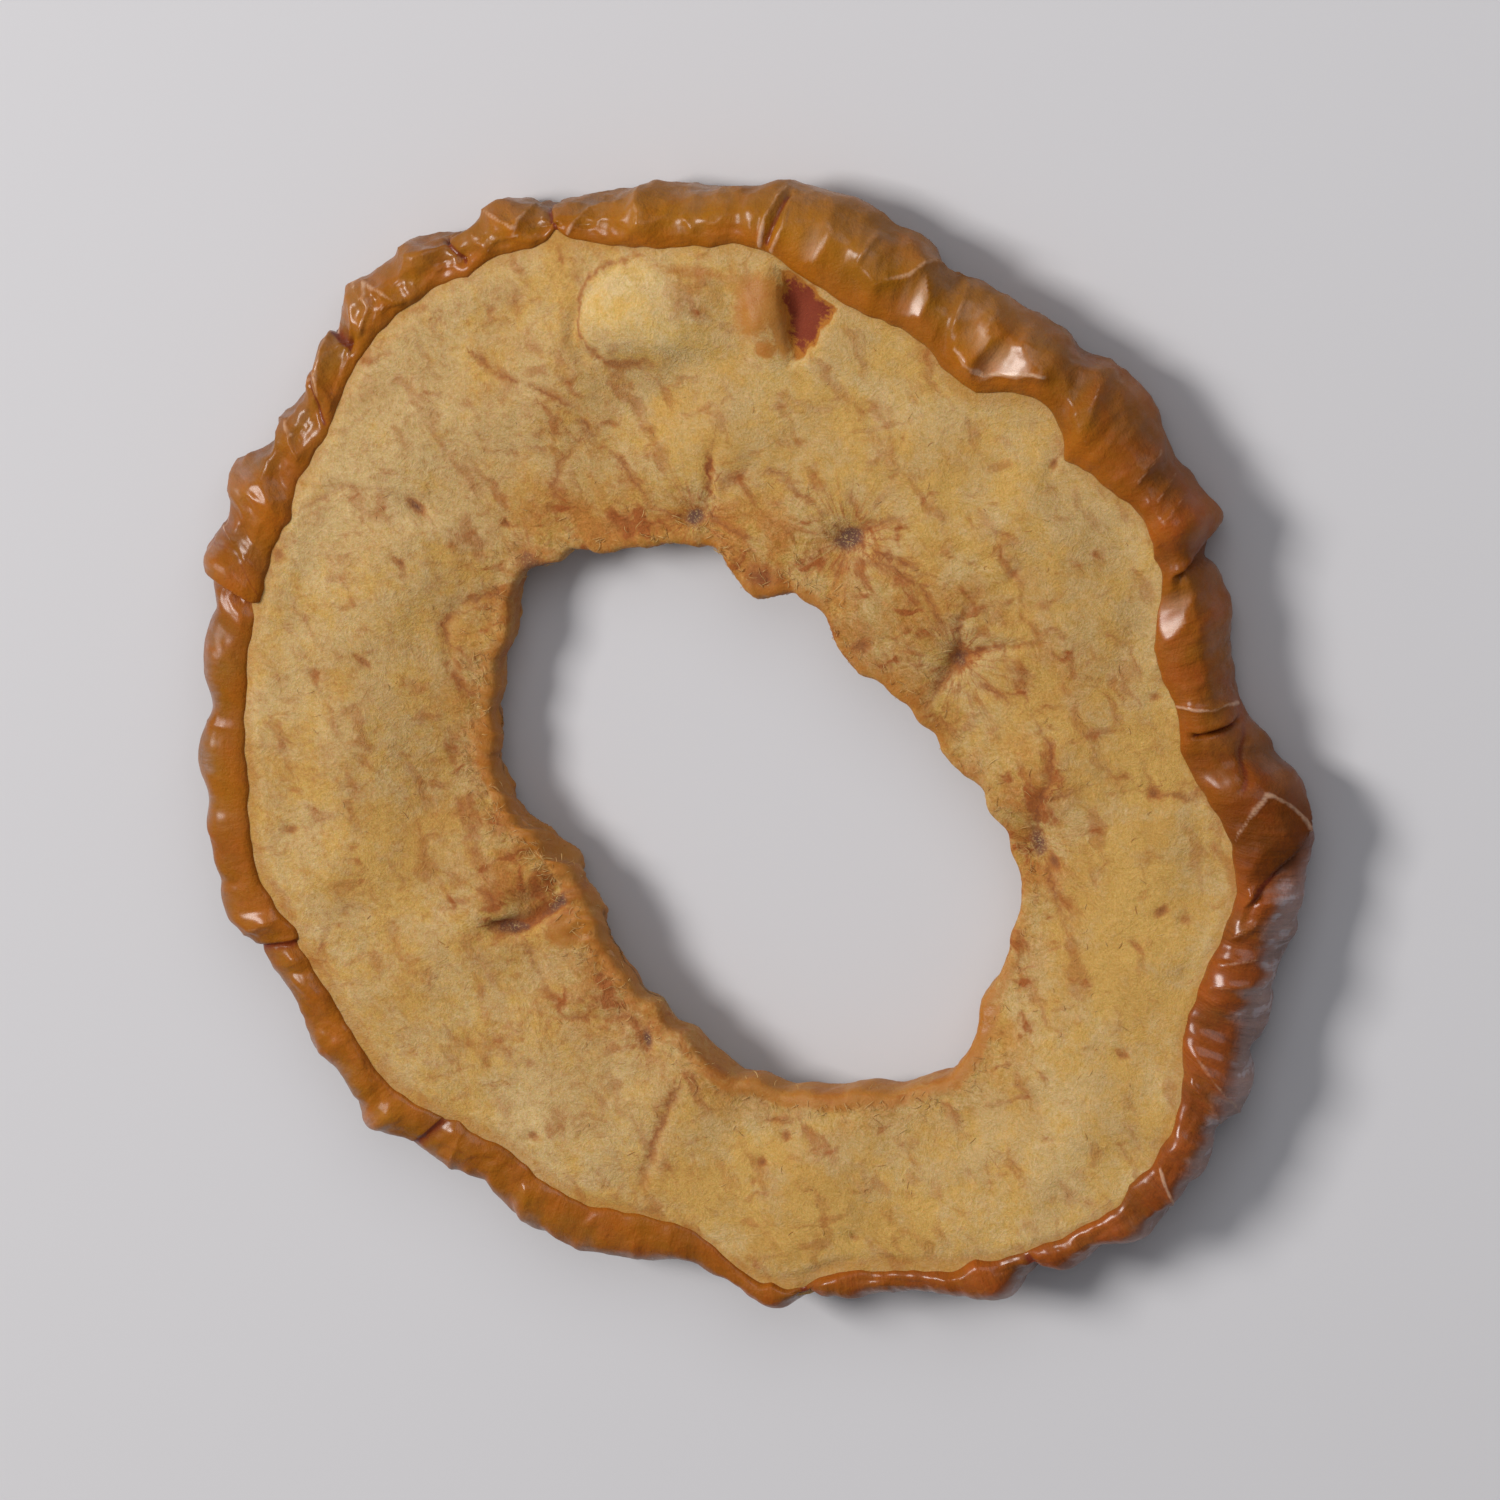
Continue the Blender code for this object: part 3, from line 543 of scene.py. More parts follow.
# The stage: each light's name, place, size and colour; the sky's colour; the camera's sensor in millimetres
# and the nearest that it sees; and how far the floor lies under the ring in millimetres
KEY_LIGHT = ("key light", (-0.36, 0.14, 0.42), 0.20, (1, 0.98, 0.95))
FILL_LIGHT = ("fill light", (0.16, 0.34, 0.42), 0.40, (0.95, 0.97, 1))
SKY_COLOUR = (0.95, 0.96, 1, 1)
SENSOR_WIDTH = 36
NEAREST_SEEN = 0.01
FLOOR_DROP = 0.01

# Cells of the seeded noise along each side, after which it repeats, and what brings it to about -1 to 1
NOISE_CELLS = 512
NOISE_GAIN = 1.6


def around(angle, places):
    """A smooth closed curve through (degrees, value) places, read at each angle.

    Between two places it is a cubic, whose slopes are those of the chords through their neighbours.
    """
    at = np.radians([place[0] for place in places])
    value = np.array([place[1] for place in places], float)
    at = np.concatenate((at[-2:] - math.tau, at, at[:3] + math.tau))
    value = np.concatenate((value[-2:], value, value[:3]))
    slope = np.zeros_like(value)
    slope[1:-1] = (value[2:] - value[:-2]) / (at[2:] - at[:-2])
    angle = np.mod(angle, math.tau)
    i = np.searchsorted(at, angle, side="right") - 1
    span = at[i + 1] - at[i]
    t = (angle - at[i]) / span
    return (
        (1 + 2 * t) * (1 - t) ** 2 * value[i]
        + t * (1 - t) ** 2 * span * slope[i]
        + t**2 * (3 - 2 * t) * value[i + 1]
        - t**2 * (1 - t) * span * slope[i + 1]
    )


def ease(value, low, high):
    """0 below low and 1 above high, or the other way round where low is above high, with a cubic between."""
    t = np.clip((value - low) / (high - low), 0, 1)
    return t * t * (3 - 2 * t)


def turned(degrees):
    """A difference of clock angles, brought between -180 and 180."""
    return (degrees + 180) % 360 - 180


def bell(value, width):
    """1 where the value is 0, falling off to both sides as a normal curve of a half width."""
    return np.exp(-((value / width) ** 2))


def arc(degrees):
    """Millimetres round the skin that a difference of clock angles makes, on its shorter way."""
    return np.radians(turned(degrees)) * SKIN_RADIUS


def cells_round(u, v, turn, sides):
    """Each of the cells round a place in turn: its column, its row, and the place counted from its corner."""
    low_u, low_v = np.floor(u), np.floor(v)
    for side_u in sides:
        for side_v in sides:
            column = np.mod(low_u + side_u, turn).astype(int)
            row = np.mod(low_v + side_v, NOISE_CELLS).astype(int)
            yield column, row, u - low_u - side_u, v - low_v - side_v


def noise(u, v, seed, turn=NOISE_CELLS):
    """Smooth gradient noise, about -1 to 1, over cells of size 1.

    At each whole place of u and v stands a seeded slope. A point adds up the four slopes round it, each
    weighed by a quintic step. It repeats after `turn` cells of u.
    """
    headings = np.random.default_rng(seed).uniform(0, math.tau, (NOISE_CELLS, NOISE_CELLS))
    total = 0.0
    for column, row, part_u, part_v in cells_round(u, v, turn, (0, 1)):
        heading, weight = headings[column, row], 1.0
        for near in (1 - np.abs(part_u), 1 - np.abs(part_v)):
            weight = weight * near**3 * (near * (near * 6 - 15) + 10)
        total = total + weight * (np.cos(heading) * part_u + np.sin(heading) * part_v)
    return NOISE_GAIN * total


def facets(angle, across, length, width, seed):
    """Bowls between sharp crests on the skin, about 0 to 1, and how near a crest is, from 0 to 1.

    One seeded place lies in each cell, length long and width wide. The height is the squared distance to the
    nearest place, and a crest runs where the two nearest ones are equally far.
    """
    turn = round(math.tau * SKIN_RADIUS / length)
    u, v = angle / math.tau * turn, across / width + 0.5
    places = np.random.default_rng(seed).uniform(0.1, 0.9, (2, NOISE_CELLS, NOISE_CELLS))
    first, second = np.full((2, *np.shape(u)), np.inf)
    for column, row, part_u, part_v in cells_round(u, v, turn, (-1, 0, 1)):
        away = (part_u - places[0, column, row]) ** 2 + (part_v - places[1, column, row]) ** 2
        second = np.minimum(second, np.maximum(first, away))
        first = np.minimum(first, away)
    return first, bell(np.sqrt(second) - np.sqrt(first), FACET_CREST)


def ring_noise(angle, across, length, width, seed):
    """Noise on the skin, whose cells are length long round the ring and width wide across it."""
    turn = round(math.tau * SKIN_RADIUS / length)
    return noise(angle / math.tau * turn, across / width + 0.5, seed, turn)


def flat_noise(x, y, size, seed):
    """Noise over the cut face with cells of one size, turned off the axes so that no cell line shows."""
    turn = 0.6 + seed
    u = (x * math.cos(turn) + y * math.sin(turn)) / size
    v = (y * math.cos(turn) - x * math.sin(turn)) / size
    return noise(u, v, seed)


def layered(x, y, layers):
    """Flat noise of several sizes added up: each layer is its height, size and seed."""
    return sum(height * flat_noise(x, y, size, seed) for height, size, seed in layers)


def from_path(x, y, path):
    """Distance to a path of straight pieces, and the same with a sign: more than 0 on its left."""
    best = np.full(np.shape(x), np.inf)
    side = np.ones(np.shape(x))
    for (x0, y0), (x1, y1) in zip(path[:-1], path[1:]):
        dx, dy = x1 - x0, y1 - y0
        t = np.clip(((x - x0) * dx + (y - y0) * dy) / (dx * dx + dy * dy), 0, 1)
        away = np.hypot(x - x0 - t * dx, y - y0 - t * dy)
        nearer = away < best
        side = np.where(nearer, np.sign(dx * (y - y0) - dy * (x - x0)), side)
        best = np.where(nearer, away, best)
    return best, best * side


def blob(x, y, middle_x, middle_y, along, across, turn=0.0):
    """A rounded spot: 1 at its middle, falling off as a normal curve along and across its turned axes."""
    cosine, sine = math.cos(math.radians(turn)), math.sin(math.radians(turn))
    u = cosine * (x - middle_x) + sine * (y - middle_y)
    v = cosine * (y - middle_y) - sine * (x - middle_x)
    return np.exp(-((u / along) ** 2) - (v / across) ** 2)


def spots(x, y, places, join=np.maximum):
    """Several rounded spots in one: at each point the strongest of them, or their sum where they are joined
    by adding. A spot is what a blob takes, with its strength last."""
    found = np.zeros(np.shape(x))
    for *spot, strength in places:
        found = join(found, strength * blob(x, y, *spot))
    return found


def pleated(angle, climb):
    """How far the skin's broad pleats sink it at a clock angle and climb: a sum of slanted bell curves."""
    sunk = np.zeros_like(angle)
    for clock, half_width, slant, depth in PLEATS:
        sunk += depth * bell(turned(np.degrees(angle) - clock - slant * climb), half_width)
    return PLEAT_SCALE * sunk


def skin_waves(angle, climb):
    """Fine unevenness of the solid's skin: sine waves round the ring, each with its own phase and twist."""
    rng = np.random.default_rng(SEED)
    height = np.zeros_like(angle)
    for turns in SKIN_WAVE_TURNS:
        phase, twist = rng.uniform(0, math.tau), rng.uniform(-2, 2)
        height += np.sin(turns * angle + phase + twist * climb)
    return SKIN_WAVE_HEIGHT * height


def hole_waves(angle):
    """How far the hole's edge wanders: sine waves that grow weaker as they grow shorter."""
    rng = np.random.default_rng(SEED + 1)
    away = np.zeros_like(angle)
    for turns in HOLE_WAVE_TURNS:
        away += np.sin(turns * angle + rng.uniform(0, math.tau)) * math.sqrt(HOLE_WAVE_TURNS[0] / turns)
    return HOLE_WAVE_HEIGHT * away


def face_waves(x, y):
    """Shallow unevenness of a cut face: plane waves of seeded length, direction and phase."""
    rng = np.random.default_rng(SEED + 2)
    height = np.zeros_like(x)
    for _ in range(FACE_WAVES):
        length = rng.uniform(*FACE_WAVE_LENGTHS)
        heading = rng.uniform(0, math.tau)
        along = x * math.cos(heading) + y * math.sin(heading)
        height += np.sin(along * math.tau / length + rng.uniform(0, math.tau))
    return FACE_WAVE_HEIGHT * height


def cut_face_relief(x, y):
    """Height of the cut face above its plain level: a sum of rounded swellings and hollows."""
    return spots(x, y, CUT_FACE_RELIEF, np.add)


def edges(angle):
    """The outer edge and the hole's edge at a clock angle, as four arrays of x and y."""
    outer = around(angle, OUTER_EDGE)
    hole = around(angle, HOLE_EDGE) + hole_waves(angle)
    return (
        outer * np.cos(angle),
        outer * np.sin(angle),
        HOLE_CENTRE[0] + hole * np.cos(angle),
        HOLE_CENTRE[1] + hole * np.sin(angle),
    )


def slice_width(angle):
    """How far it is from the outer edge to the hole's edge at a clock angle."""
    outer_x, outer_y, hole_x, hole_y = edges(angle)
    return np.hypot(outer_x - hole_x, outer_y - hole_y)


def section(angle, station):
    """One point of the cross section: its height over the mid plane, and its share of the way in to the hole.

    The skin is an arc of an ellipse, the flesh is nearly level, and the hole's edge is a quarter of an
    ellipse. The lower half is the upper one with its sign turned.
    """
    over = np.abs(station)
    side = np.where(station < 0, -1.0, 1.0)
    width, band = slice_width(angle), around(angle, SKIN_BAND)

    end = math.pi - math.asin(FLESH_HALF_HEIGHT / SKIN_HALF_HEIGHT)
    climb = np.clip(over / SKIN_STEPS, 0, 1)
    skin_in = band * (1 - np.cos(end * climb)) / (1 - math.cos(end))
    skin_up = SKIN_HALF_HEIGHT * np.sin(end * climb)

    along = np.clip((over - SKIN_STEPS) / FLESH_STEPS, 0, 1)
    flesh_in = band + (width - CORE_EDGE_WIDTH - band) * along
    thinning = (CORE_EDGE_HALF_HEIGHT - FLESH_HALF_HEIGHT) * along**THINNING_POWER
    groove = GROOVE_DEPTH * bell(along / GROOVE_PLACE - 1, 1)
    flesh_up = FLESH_HALF_HEIGHT + FLESH_CROWN * np.sin(math.pi * along) + thinning - groove

    turn = np.clip((over - RIM_STATION) / EDGE_STEPS, 0, 1) * math.pi / 2
    edge_in = width - CORE_EDGE_WIDTH * (1 - np.sin(turn))
    edge_up = CORE_EDGE_HALF_HEIGHT * np.cos(turn)

    on_skin, on_edge = over < SKIN_STEPS, over > RIM_STATION
    inward = np.where(on_skin, skin_in, np.where(on_edge, edge_in, flesh_in))
    height = np.where(on_skin, skin_up, np.where(on_edge, edge_up, flesh_up))
    return side * height, inward / width


def slice_points(angle, station):
    """Places of the solid's surface before it is centred, as an array with x, y and z last."""
    outer_x, outer_y, hole_x, hole_y = edges(angle)
    height, share = section(angle, station)
    x = outer_x + (hole_x - outer_x) * share
    y = outer_y + (hole_y - outer_y) * share

    # The skin's pleats pull its surface in towards the middle of the band
    climb = np.clip(station / SKIN_STEPS, -1, 1)
    skin = 1 - np.abs(climb) ** 3
    sunk = (pleated(angle, climb) + skin_waves(angle, climb)) * skin
    inwards = sunk * np.cos(climb * math.pi * PLEAT_FACING)
    x = x - inwards * np.cos(angle)
    y = y - inwards * np.sin(angle)
    height = height - PLEAT_LOWERING * sunk * np.sin(climb * math.pi / 2)

    # The whole slice is slightly wavy at its outer edge and slightly dished towards the hole
    lobe = (1 - np.cos(LOBES * (angle - math.radians(LOBE_CLOCK)))) / 2
    saddle = np.cos(2 * (angle - math.radians(DISH_CLOCK)))
    edge_level = SKIN_HALF_HEIGHT - PRESSED_FLAT + LOBE_RISE * lobe * (1 - share)
    level = edge_level + PRESSED_FLAT * share - DISH_DEPTH * saddle * share**2
    flesh = np.clip((np.abs(station) - SKIN_STEPS) / RELIEF_FADE_STEPS, 0, 1)
    underside = UNDERSIDE_SHARE * cut_face_relief(-x, y)
    relief = np.where(station > 0, cut_face_relief(x, y), underside)
    height = height + np.sign(station) * flesh * (relief + face_waves(x, y))
    return np.stack((x, y, np.maximum(level + height, 0.0)), axis=-1)


def ring_grid(rounds, across):
    """Clock angles round the whole ring and places across it, as two arrays with a slice in each row."""
    return np.meshgrid(np.arange(rounds) / rounds * math.tau, across, indexing="ij")


def ring_middle():
    """The middle of the solid's own coarse grid, which stands over the origin."""
    angle, station = ring_grid(CAD_STEPS_ROUND, np.arange(-WALL_STATION, WALL_STATION))
    points = slice_points(angle, station).reshape(-1, 3)
    low, high = points.min(axis=0), points.max(axis=0)
    box_middle = (np.array(RING_LOW) + np.array(RING_HIGH)) / 2 / MM
    return np.array(((low[0] + high[0]) / 2 - box_middle[0], (low[1] + high[1]) / 2 - box_middle[1], low[2]))


MIDDLE = ring_middle()


def unit(vectors):
    """The same directions, each with a length of 1."""
    return vectors / np.linalg.norm(vectors, axis=-1, keepdims=True)


def surface(angle, station, low=-WALL_STATION, high=WALL_STATION):
    """Places on the solid's surface, its outward directions and its directions across it, by small steps.

    The steps stay between two stations, so that none is taken over the corner at a lip of the skin.
    """
    turn, step = math.radians(0.12), 0.04
    inside = np.clip(station, low + step, high - step)
    along = slice_points(angle + turn, inside) - slice_points(angle - turn, inside)
    across = slice_points(angle, inside + step) - slice_points(angle, inside - step)
    return slice_points(angle, station), unit(np.cross(along, across)), unit(across)


def above_floor(points):
    """The same places, with any under the floor raised to it."""
    points[..., 2] = np.maximum(points[..., 2], 0.0)
    return points


def skin_creases(angle, climb):
    """Height, painted slit shade and paleness of the creases: each falls off with the distance from its path,
    as a sharp crest, whose pale line is partly a painted highlight, where it rises, and as a rounded slit
    with painted shade where it is cut in."""
    height, valley, pale = np.zeros((3, *angle.shape))
    for rise, width, paleness, path in CREASES:
        first = path[0][0]
        steps = [(arc(clock - first), at * SKIN_REACH) for clock, at in path]
        away, _ = from_path(arc(np.degrees(angle) - first), climb * SKIN_REACH, steps)
        if rise > 0:
            height += rise * np.exp(-away / width)
            pale = np.maximum(pale, paleness * bell(away, CREST_LINE))
        else:
            height += rise * bell(away, width)
            valley = np.maximum(valley, min(-rise / FULL_SLIT, 1) * bell(away / width, 0.9))
    return height, valley, pale


def skin_folds(angle, climb):
    """Height, lean round the ring, and painted shade in the valley of the folds.

    Across a fold the upper side's height falls off slowly from its edge and the lower side's sink quickly,
    and a steep smooth step joins them. The upper side leans out over the lower one.
    """
    height, lean, valley = np.zeros((3, *angle.shape))
    for clock, slant, start, stop, rise, sink, reach, side in FOLDS:
        away = side * arc(np.degrees(angle) - clock - slant * climb)
        distance = np.abs(away)
        window = ease(climb, start, start + FOLD_FADE_IN) * ease(climb, stop, stop - FOLD_FADE_OUT)
        upper = (1 + np.tanh(away / FOLD_STEP)) / 2
        risen = upper * rise * np.exp(-distance / RISE_RUN)
        height += window * (risen - (1 - upper) * sink * np.exp(-distance / SINK_RUN))
        lean -= side * reach * window * upper * np.exp(-distance / LEAN_RUN)
        slit = np.where(away < 0, np.exp(-distance / SLIT_RUN), bell(away, SLIT_EDGE))
        valley = np.maximum(valley, window * slit)
    return height, lean, valley


def skin_crumple(angle, climb):
    """Height, painted valley shade and paleness, partly a painted highlight, of the crumpled skin.

    Rounded bulges lie between sharp valleys, as the size of bent noise grows away from its zero lines. On
    them facets of three sizes sink between pale crests, and fine wrinkles run across the band.
    """
    across = climb * SKIN_REACH
    strength, depth = around(angle, CRUMPLE), around(angle, FACETS)
    bend = ring_noise(angle, across, 5.0, 4.0, 31)
    coarse = ring_noise(angle + bend * 0.9 / SKIN_RADIUS, across, 2.3, 3.4, 32)
    fine = ring_noise(angle + bend * 0.5 / SKIN_RADIUS, across + bend, 1.1, 1.6, 33)
    bulge, small = (np.sqrt(each**2 + VALLEY_ROUNDING) - BULGE_LEVEL for each in (coarse, fine))
    bowls, crests = 0.0, 0.0
    for length, width, bend_round, bend_across, seed, sink, paleness in FACET_SIZES:
        bent = angle + bend * bend_round / SKIN_RADIUS
        bowl, crest = facets(bent, across + bend_across * bend, length, width, seed)
        bowls = bowls + sink * (bowl - BOWL_LEVEL)
        crests = crests + paleness * crest
    height = strength * (BULGE_RISE * bulge + SMALL_BULGE_RISE * small) + depth * bowls
    height += WRINKLE_RISE * around(angle, CROSS_WRINKLES) * ring_noise(angle, across, 0.62, 4.2, 34)
    height += 0.03 * ring_noise(angle, across, 1.7, 2.2, 35) + 0.01 * ring_noise(angle, across, 7.0, 0.5, 39)
    pale = np.clip(depth - 0.25, 0, 1) * crests * ease(bend, -0.5, 0.3)
    return height, strength * 0.55 * bell(coarse, 0.09), pale


def pressed_flat(points, climb):
    """The skin with its flat facets, and how much of their gleam each point has: what stands above a sloped
    plane, near the facet's middle, is pressed down onto the plane."""
    gleam = np.zeros(climb.shape)
    for clock, at, reach, depth, slope_x, slope_y, shine in FLATS:
        middle, _, _ = surface(np.array(math.radians(clock)), np.array(at * SKIN_STEPS))
        normal = np.array((slope_x, slope_y, 1.0)) / math.hypot(slope_x, slope_y, 1.0)
        from_middle = points - middle
        above = np.maximum(from_middle @ normal + depth, 0.0)
        near = FLAT_SHARE * ease(np.linalg.norm(from_middle, axis=-1), reach + FLAT_EDGE, reach)
        near *= climb > FLAT_LOWEST
        points = points - (above * near)[..., None] * normal
        gleam = np.maximum(gleam, shine * ease(above, 0, GLEAM_DEPTH) * near)
    return points, gleam


def skin_shade(angle, climb):
    """How dark and dull the skin's marked places are: even over most of an oval, falling off steeply."""
    shade = np.zeros_like(angle)
    for clock, at, along, over, strength in SHADES:
        x, y = arc(np.degrees(angle) - clock), (climb - at) * SKIN_REACH
        shade = np.maximum(shade, strength * bell((x / along) ** 2 + (y / over) ** 2, 1))
    return shade


def skin_sheet(angle, climb):
    """The skin's outer face: places, outward and across directions, and how it looks at each point."""
    points, out, across = surface(angle, climb * SKIN_STEPS, -SKIN_STEPS, SKIN_STEPS)
    crease, crease_valley, pale = skin_creases(angle, climb)
    fold, lean, fold_valley = skin_folds(angle, climb)
    crumple, crumple_valley, crumple_pale = skin_crumple(angle, climb)
    near_lip = ease(np.abs(climb), LIP_START, 1)
    calm = 1 - LIP_CALM * near_lip
    lift = LIP_LIFT * near_lip * (1 + ring_noise(angle, climb, 2.6, 9.0, 36))
    height = crease * calm + fold + crumple * calm + lift
    points = points + out * height[..., None]

    # The folds lean round the ring, and the upper lip runs in and out over the flesh
    cosine, sine, none = np.cos(angle), np.sin(angle), np.zeros_like(angle)
    inward, tangent = np.stack((-cosine, -sine, none), axis=-1), np.stack((-sine, cosine, none), axis=-1)
    reach = around(angle, LIP_IN)
    for wander, length, seed in LIP_WANDER:
        reach = reach + wander * ring_noise(angle, angle, length, 9.0, seed)
    for clock, half_width, tip in LIP_TIPS:
        reach = reach + tip * np.exp(-np.abs(turned(np.degrees(angle) - clock) / half_width) ** 1.5)
    shift = reach * ease(climb, 0.45, 1.0) - around(angle, SKIN_OUT) * ease(climb, 1.0, 0.3)
    points = points + tangent * lean[..., None] + inward * shift[..., None]
    points[..., 2] -= LEVEL_SINK * around(angle, LEVELLED) * bell(climb - LEVEL_CLIMB, LEVEL_WIDTH)
    points, gleam = pressed_flat(points, climb)
    looks = {
        "shade": skin_shade(angle, climb),
        "gleam": gleam,
        # Painted shade in the sunken pleats
        "sunk": np.clip(0.5 + pleated(angle, climb), 0, 1),
        # Painted shade, dark red, in the slits and valleys of creases, folds and crumples
        "valley": np.clip(np.max((crease_valley, fold_valley, crumple_valley), axis=0), 0, 1),
        # Pale crest lines: partly the skin's own and partly painted highlight
        "pale": np.maximum(pale, crumple_pale * (1 - near_lip)),
        "wrinkled": around(angle, CROSS_WRINKLES),
        "redness": around(angle, REDNESS),
        # Grey lilac bloom, partly painted sheen
        "bloom_and_sheen": np.clip(around(angle, BLOOM_AND_SHEEN), 0, 1.2),
        "dull": around(angle, DULLNESS),
        "climb": climb,
    }
    return above_floor(points), out, across, looks


def skin_points(steps_round):
    """The skin as a closed sheet bent round the edge: over its outer face, round the upper lip as half a
    circle, back along its inner face, and round the lower lip."""
    lip = np.arange(1, 4) / 4 * math.pi
    outer = np.concatenate((np.linspace(-1, 0, SKIN_ROWS_UNDER), np.linspace(0, 1, SKIN_ROWS_OVER)[1:]))
    inner = np.linspace(1, -1, SKIN_ROWS_INSIDE)[1:-1]
    climbs = np.concatenate((outer, np.ones(4), inner, -np.ones(4)))
    half = SKIN_LIP_THICKNESS / 2
    round_lip = np.append(half * (1 - np.cos(lip)), SKIN_LIP_THICKNESS)
    past_lip = np.append(half * np.sin(lip), 0.0)
    inner_depth = SKIN_THICKNESS + (SKIN_LIP_THICKNESS - SKIN_THICKNESS) * ease(np.abs(inner), 0.4, 1.0)
    depths = np.concatenate((np.zeros_like(outer), round_lip, inner_depth, round_lip[::-1]))
    beyond = np.concatenate((np.zeros_like(outer), past_lip, np.zeros_like(inner), -past_lip[::-1]))

    angle, climb = ring_grid(steps_round, climbs)
    points, out, across, looks = skin_sheet(angle, climb)
    points = above_floor(points - out * depths[:, None] + across * beyond[:, None])
    looks["inside"] = np.broadcast_to(ease(depths, 0.0, SKIN_LIP_THICKNESS), angle.shape)
    return points, looks


def tear(x, y):
    """How deep inside the torn hollow a point lies: a soft least of its distances from three bent sides."""
    aside, along = (TEAR_WANDER * flat_noise(x, y, TEAR_WANDER_SIZE, seed) for seed in (46, 47))
    x, y = x + aside, y + along
    outside = np.zeros(np.shape(x))
    corners = TEAR_CORNERS + TEAR_CORNERS[:1]
    for (x0, y0), (x1, y1) in zip(corners[:-1], corners[1:]):
        length = math.hypot(x1 - x0, y1 - y0)
        inside = -((x1 - x0) * (y - y0) - (y1 - y0) * (x - x0)) / length
        outside = outside + np.exp(-np.clip(inside / TEAR_ROUNDING, -9, 30))
    return -TEAR_ROUNDING * np.log(outside)


def blister(x, y):
    """A dome, 1 at its middle and 0 off a wavy ellipse: steep at its upper and left edge, and running out
    slowly on the other side."""
    middle_x, middle_y, along, across = BLISTER
    u, v = (x - middle_x) / along, (y - middle_y) / across
    away = np.hypot(u, v) + BLISTER_WANDER * flat_noise(x, y, 2.3, 48)
    steep = np.sqrt(np.clip(1 - away**2, 0, 1))
    facing = ease(v - 0.6 * u, -1.1, 0.3)
    return facing * steep + (1 - facing) * ease(away, 1.15, 0.2)


def flesh_marks(x, y):
    """What is seen on the cut face at a place: the nearest vein as a signed distance and a strength, and
    brown, plum, amber, warm and golden places and the torn hollow, each by its strength."""
    nearest, vein_side, vein = (np.full(np.shape(x), value) for value in (np.inf, 2.0, 0.0))
    for strength, path in VEINS:
        away, side = from_path(x, y, path)
        (start_x, start_y), (end_x, end_y) = path[0], path[-1]
        from_end = np.minimum(np.hypot(x - end_x, y - end_y), 0.6 + np.hypot(x - start_x, y - start_y))
        strength = strength * (0.3 + 0.7 * ease(from_end, 0.0, 1.4))
        nearer = away < nearest
        vein_side = np.where(nearer, np.clip(side, -2, 2), vein_side)
        vein = np.where(nearer, strength * ease(away, 1.0, 0.3), vein)
        nearest = np.where(nearer, away, nearest)
    return {
        "golden": spots(x, y, GOLDEN_PLACES, np.add),
        "vein_side": vein_side,
        "vein": vein,
        "brown": spots(x, y, [mark[:6] for mark in MARKS]),
        "plum": spots(x, y, [(*mark[:5], mark[6]) for mark in MARKS]),
        "amber": spots(x, y, AMBER_PLACES),
        "warm": spots(x, y, WARM_PLACES),
        "hollow": ease(tear(x, y), -0.15, 0.65),
    }


def flesh_height(x, y, marks):
    """Fine relief of the upper cut face: noise of three sizes, grooves along the veins, pits at the marks,
    ridges and furrows, the blister, and the torn hollow, whose floor slopes down from its sides."""
    height = layered(x, y, FACE_NOISE)
    height -= VEIN_DEPTH * marks["vein"] * bell(marks["vein_side"], VEIN_HALF_WIDTH)
    height -= BROWN_DEPTH * marks["brown"] + PLUM_DEPTH * marks["plum"]
    height += AMBER_RISE * marks["amber"]
    for rise, width, path in FACE_RIDGES:
        height += rise * bell(from_path(x, y, path)[0], width)
    height += BLISTER_RISE * blister(x, y)
    slope = TEAR_SLOPE * (1 + TEAR_STEEPER * ease(x, *TEAR_STEEP_SIDE))
    height -= np.clip(slope * (tear(x, y) + 0.1), 0, TEAR_DEPTH)
    return height


def fans(x, y):
    """How strongly the flesh fans out from its nearest scar, and in what direction that scar is left."""
    nearest = np.full(np.shape(x), np.inf)
    fan, fan_x, fan_y = np.zeros((3, *np.shape(x)))
    for scar_x, scar_y, reach, strength in SCARS:
        away = np.hypot(x - scar_x, y - scar_y)
        nearer = away < nearest
        nearest = np.where(nearer, away, nearest)
        fan = np.where(nearer, strength * bell(away, reach), fan)
        fan_x = np.where(nearer, (x - scar_x) / (away + 0.2), fan_x)
        fan_y = np.where(nearer, (y - scar_y) / (away + 0.2), fan_y)
    return fan, fan_x, fan_y


def flesh_looks(angle, station, x, y, marks):
    """How the flesh looks at each point: its marks on the upper face alone, warmer near the hole and amber at
    its rim, paler on the blister, partly its own paler flesh and partly painted light on the dome, with a
    brown line at its left edge, and the fans of its scars."""
    upper = station > 0
    from_hole = slice_width(angle) * (1 - section(angle, station)[1])
    looks = {name: values * upper for name, values in marks.items()}
    looks["vein_side"] = marks["vein_side"]
    looks["warm"] = np.clip(looks["warm"] * 0.85 + WARM_RIM * bell(from_hole, WARM_RIM_WIDTH), 0, 1)
    looks["rim"] = ease(np.abs(station), 11.6, 12.9) * (0.3 + 0.7 * around(angle, RIM_AMBER))
    swelling = blister(x, y)
    # The blister is paler towards its left: partly its own paler flesh and partly painted light on the dome
    looks["pale"] = 0.55 * swelling * ease(x, 0.0, -3.0) * upper
    edge = bell(swelling - 0.22, 0.2) * ease(x, -1.0, -6.0) * upper
    looks["brown"] = np.maximum(looks["brown"], 0.7 * edge)
    fan, looks["fan_x"], looks["fan_y"] = fans(x, y)
    looks["fan"] = fan * upper
    looks["lip"] = ease(np.abs(station), 5.3, 5.0)
    return looks


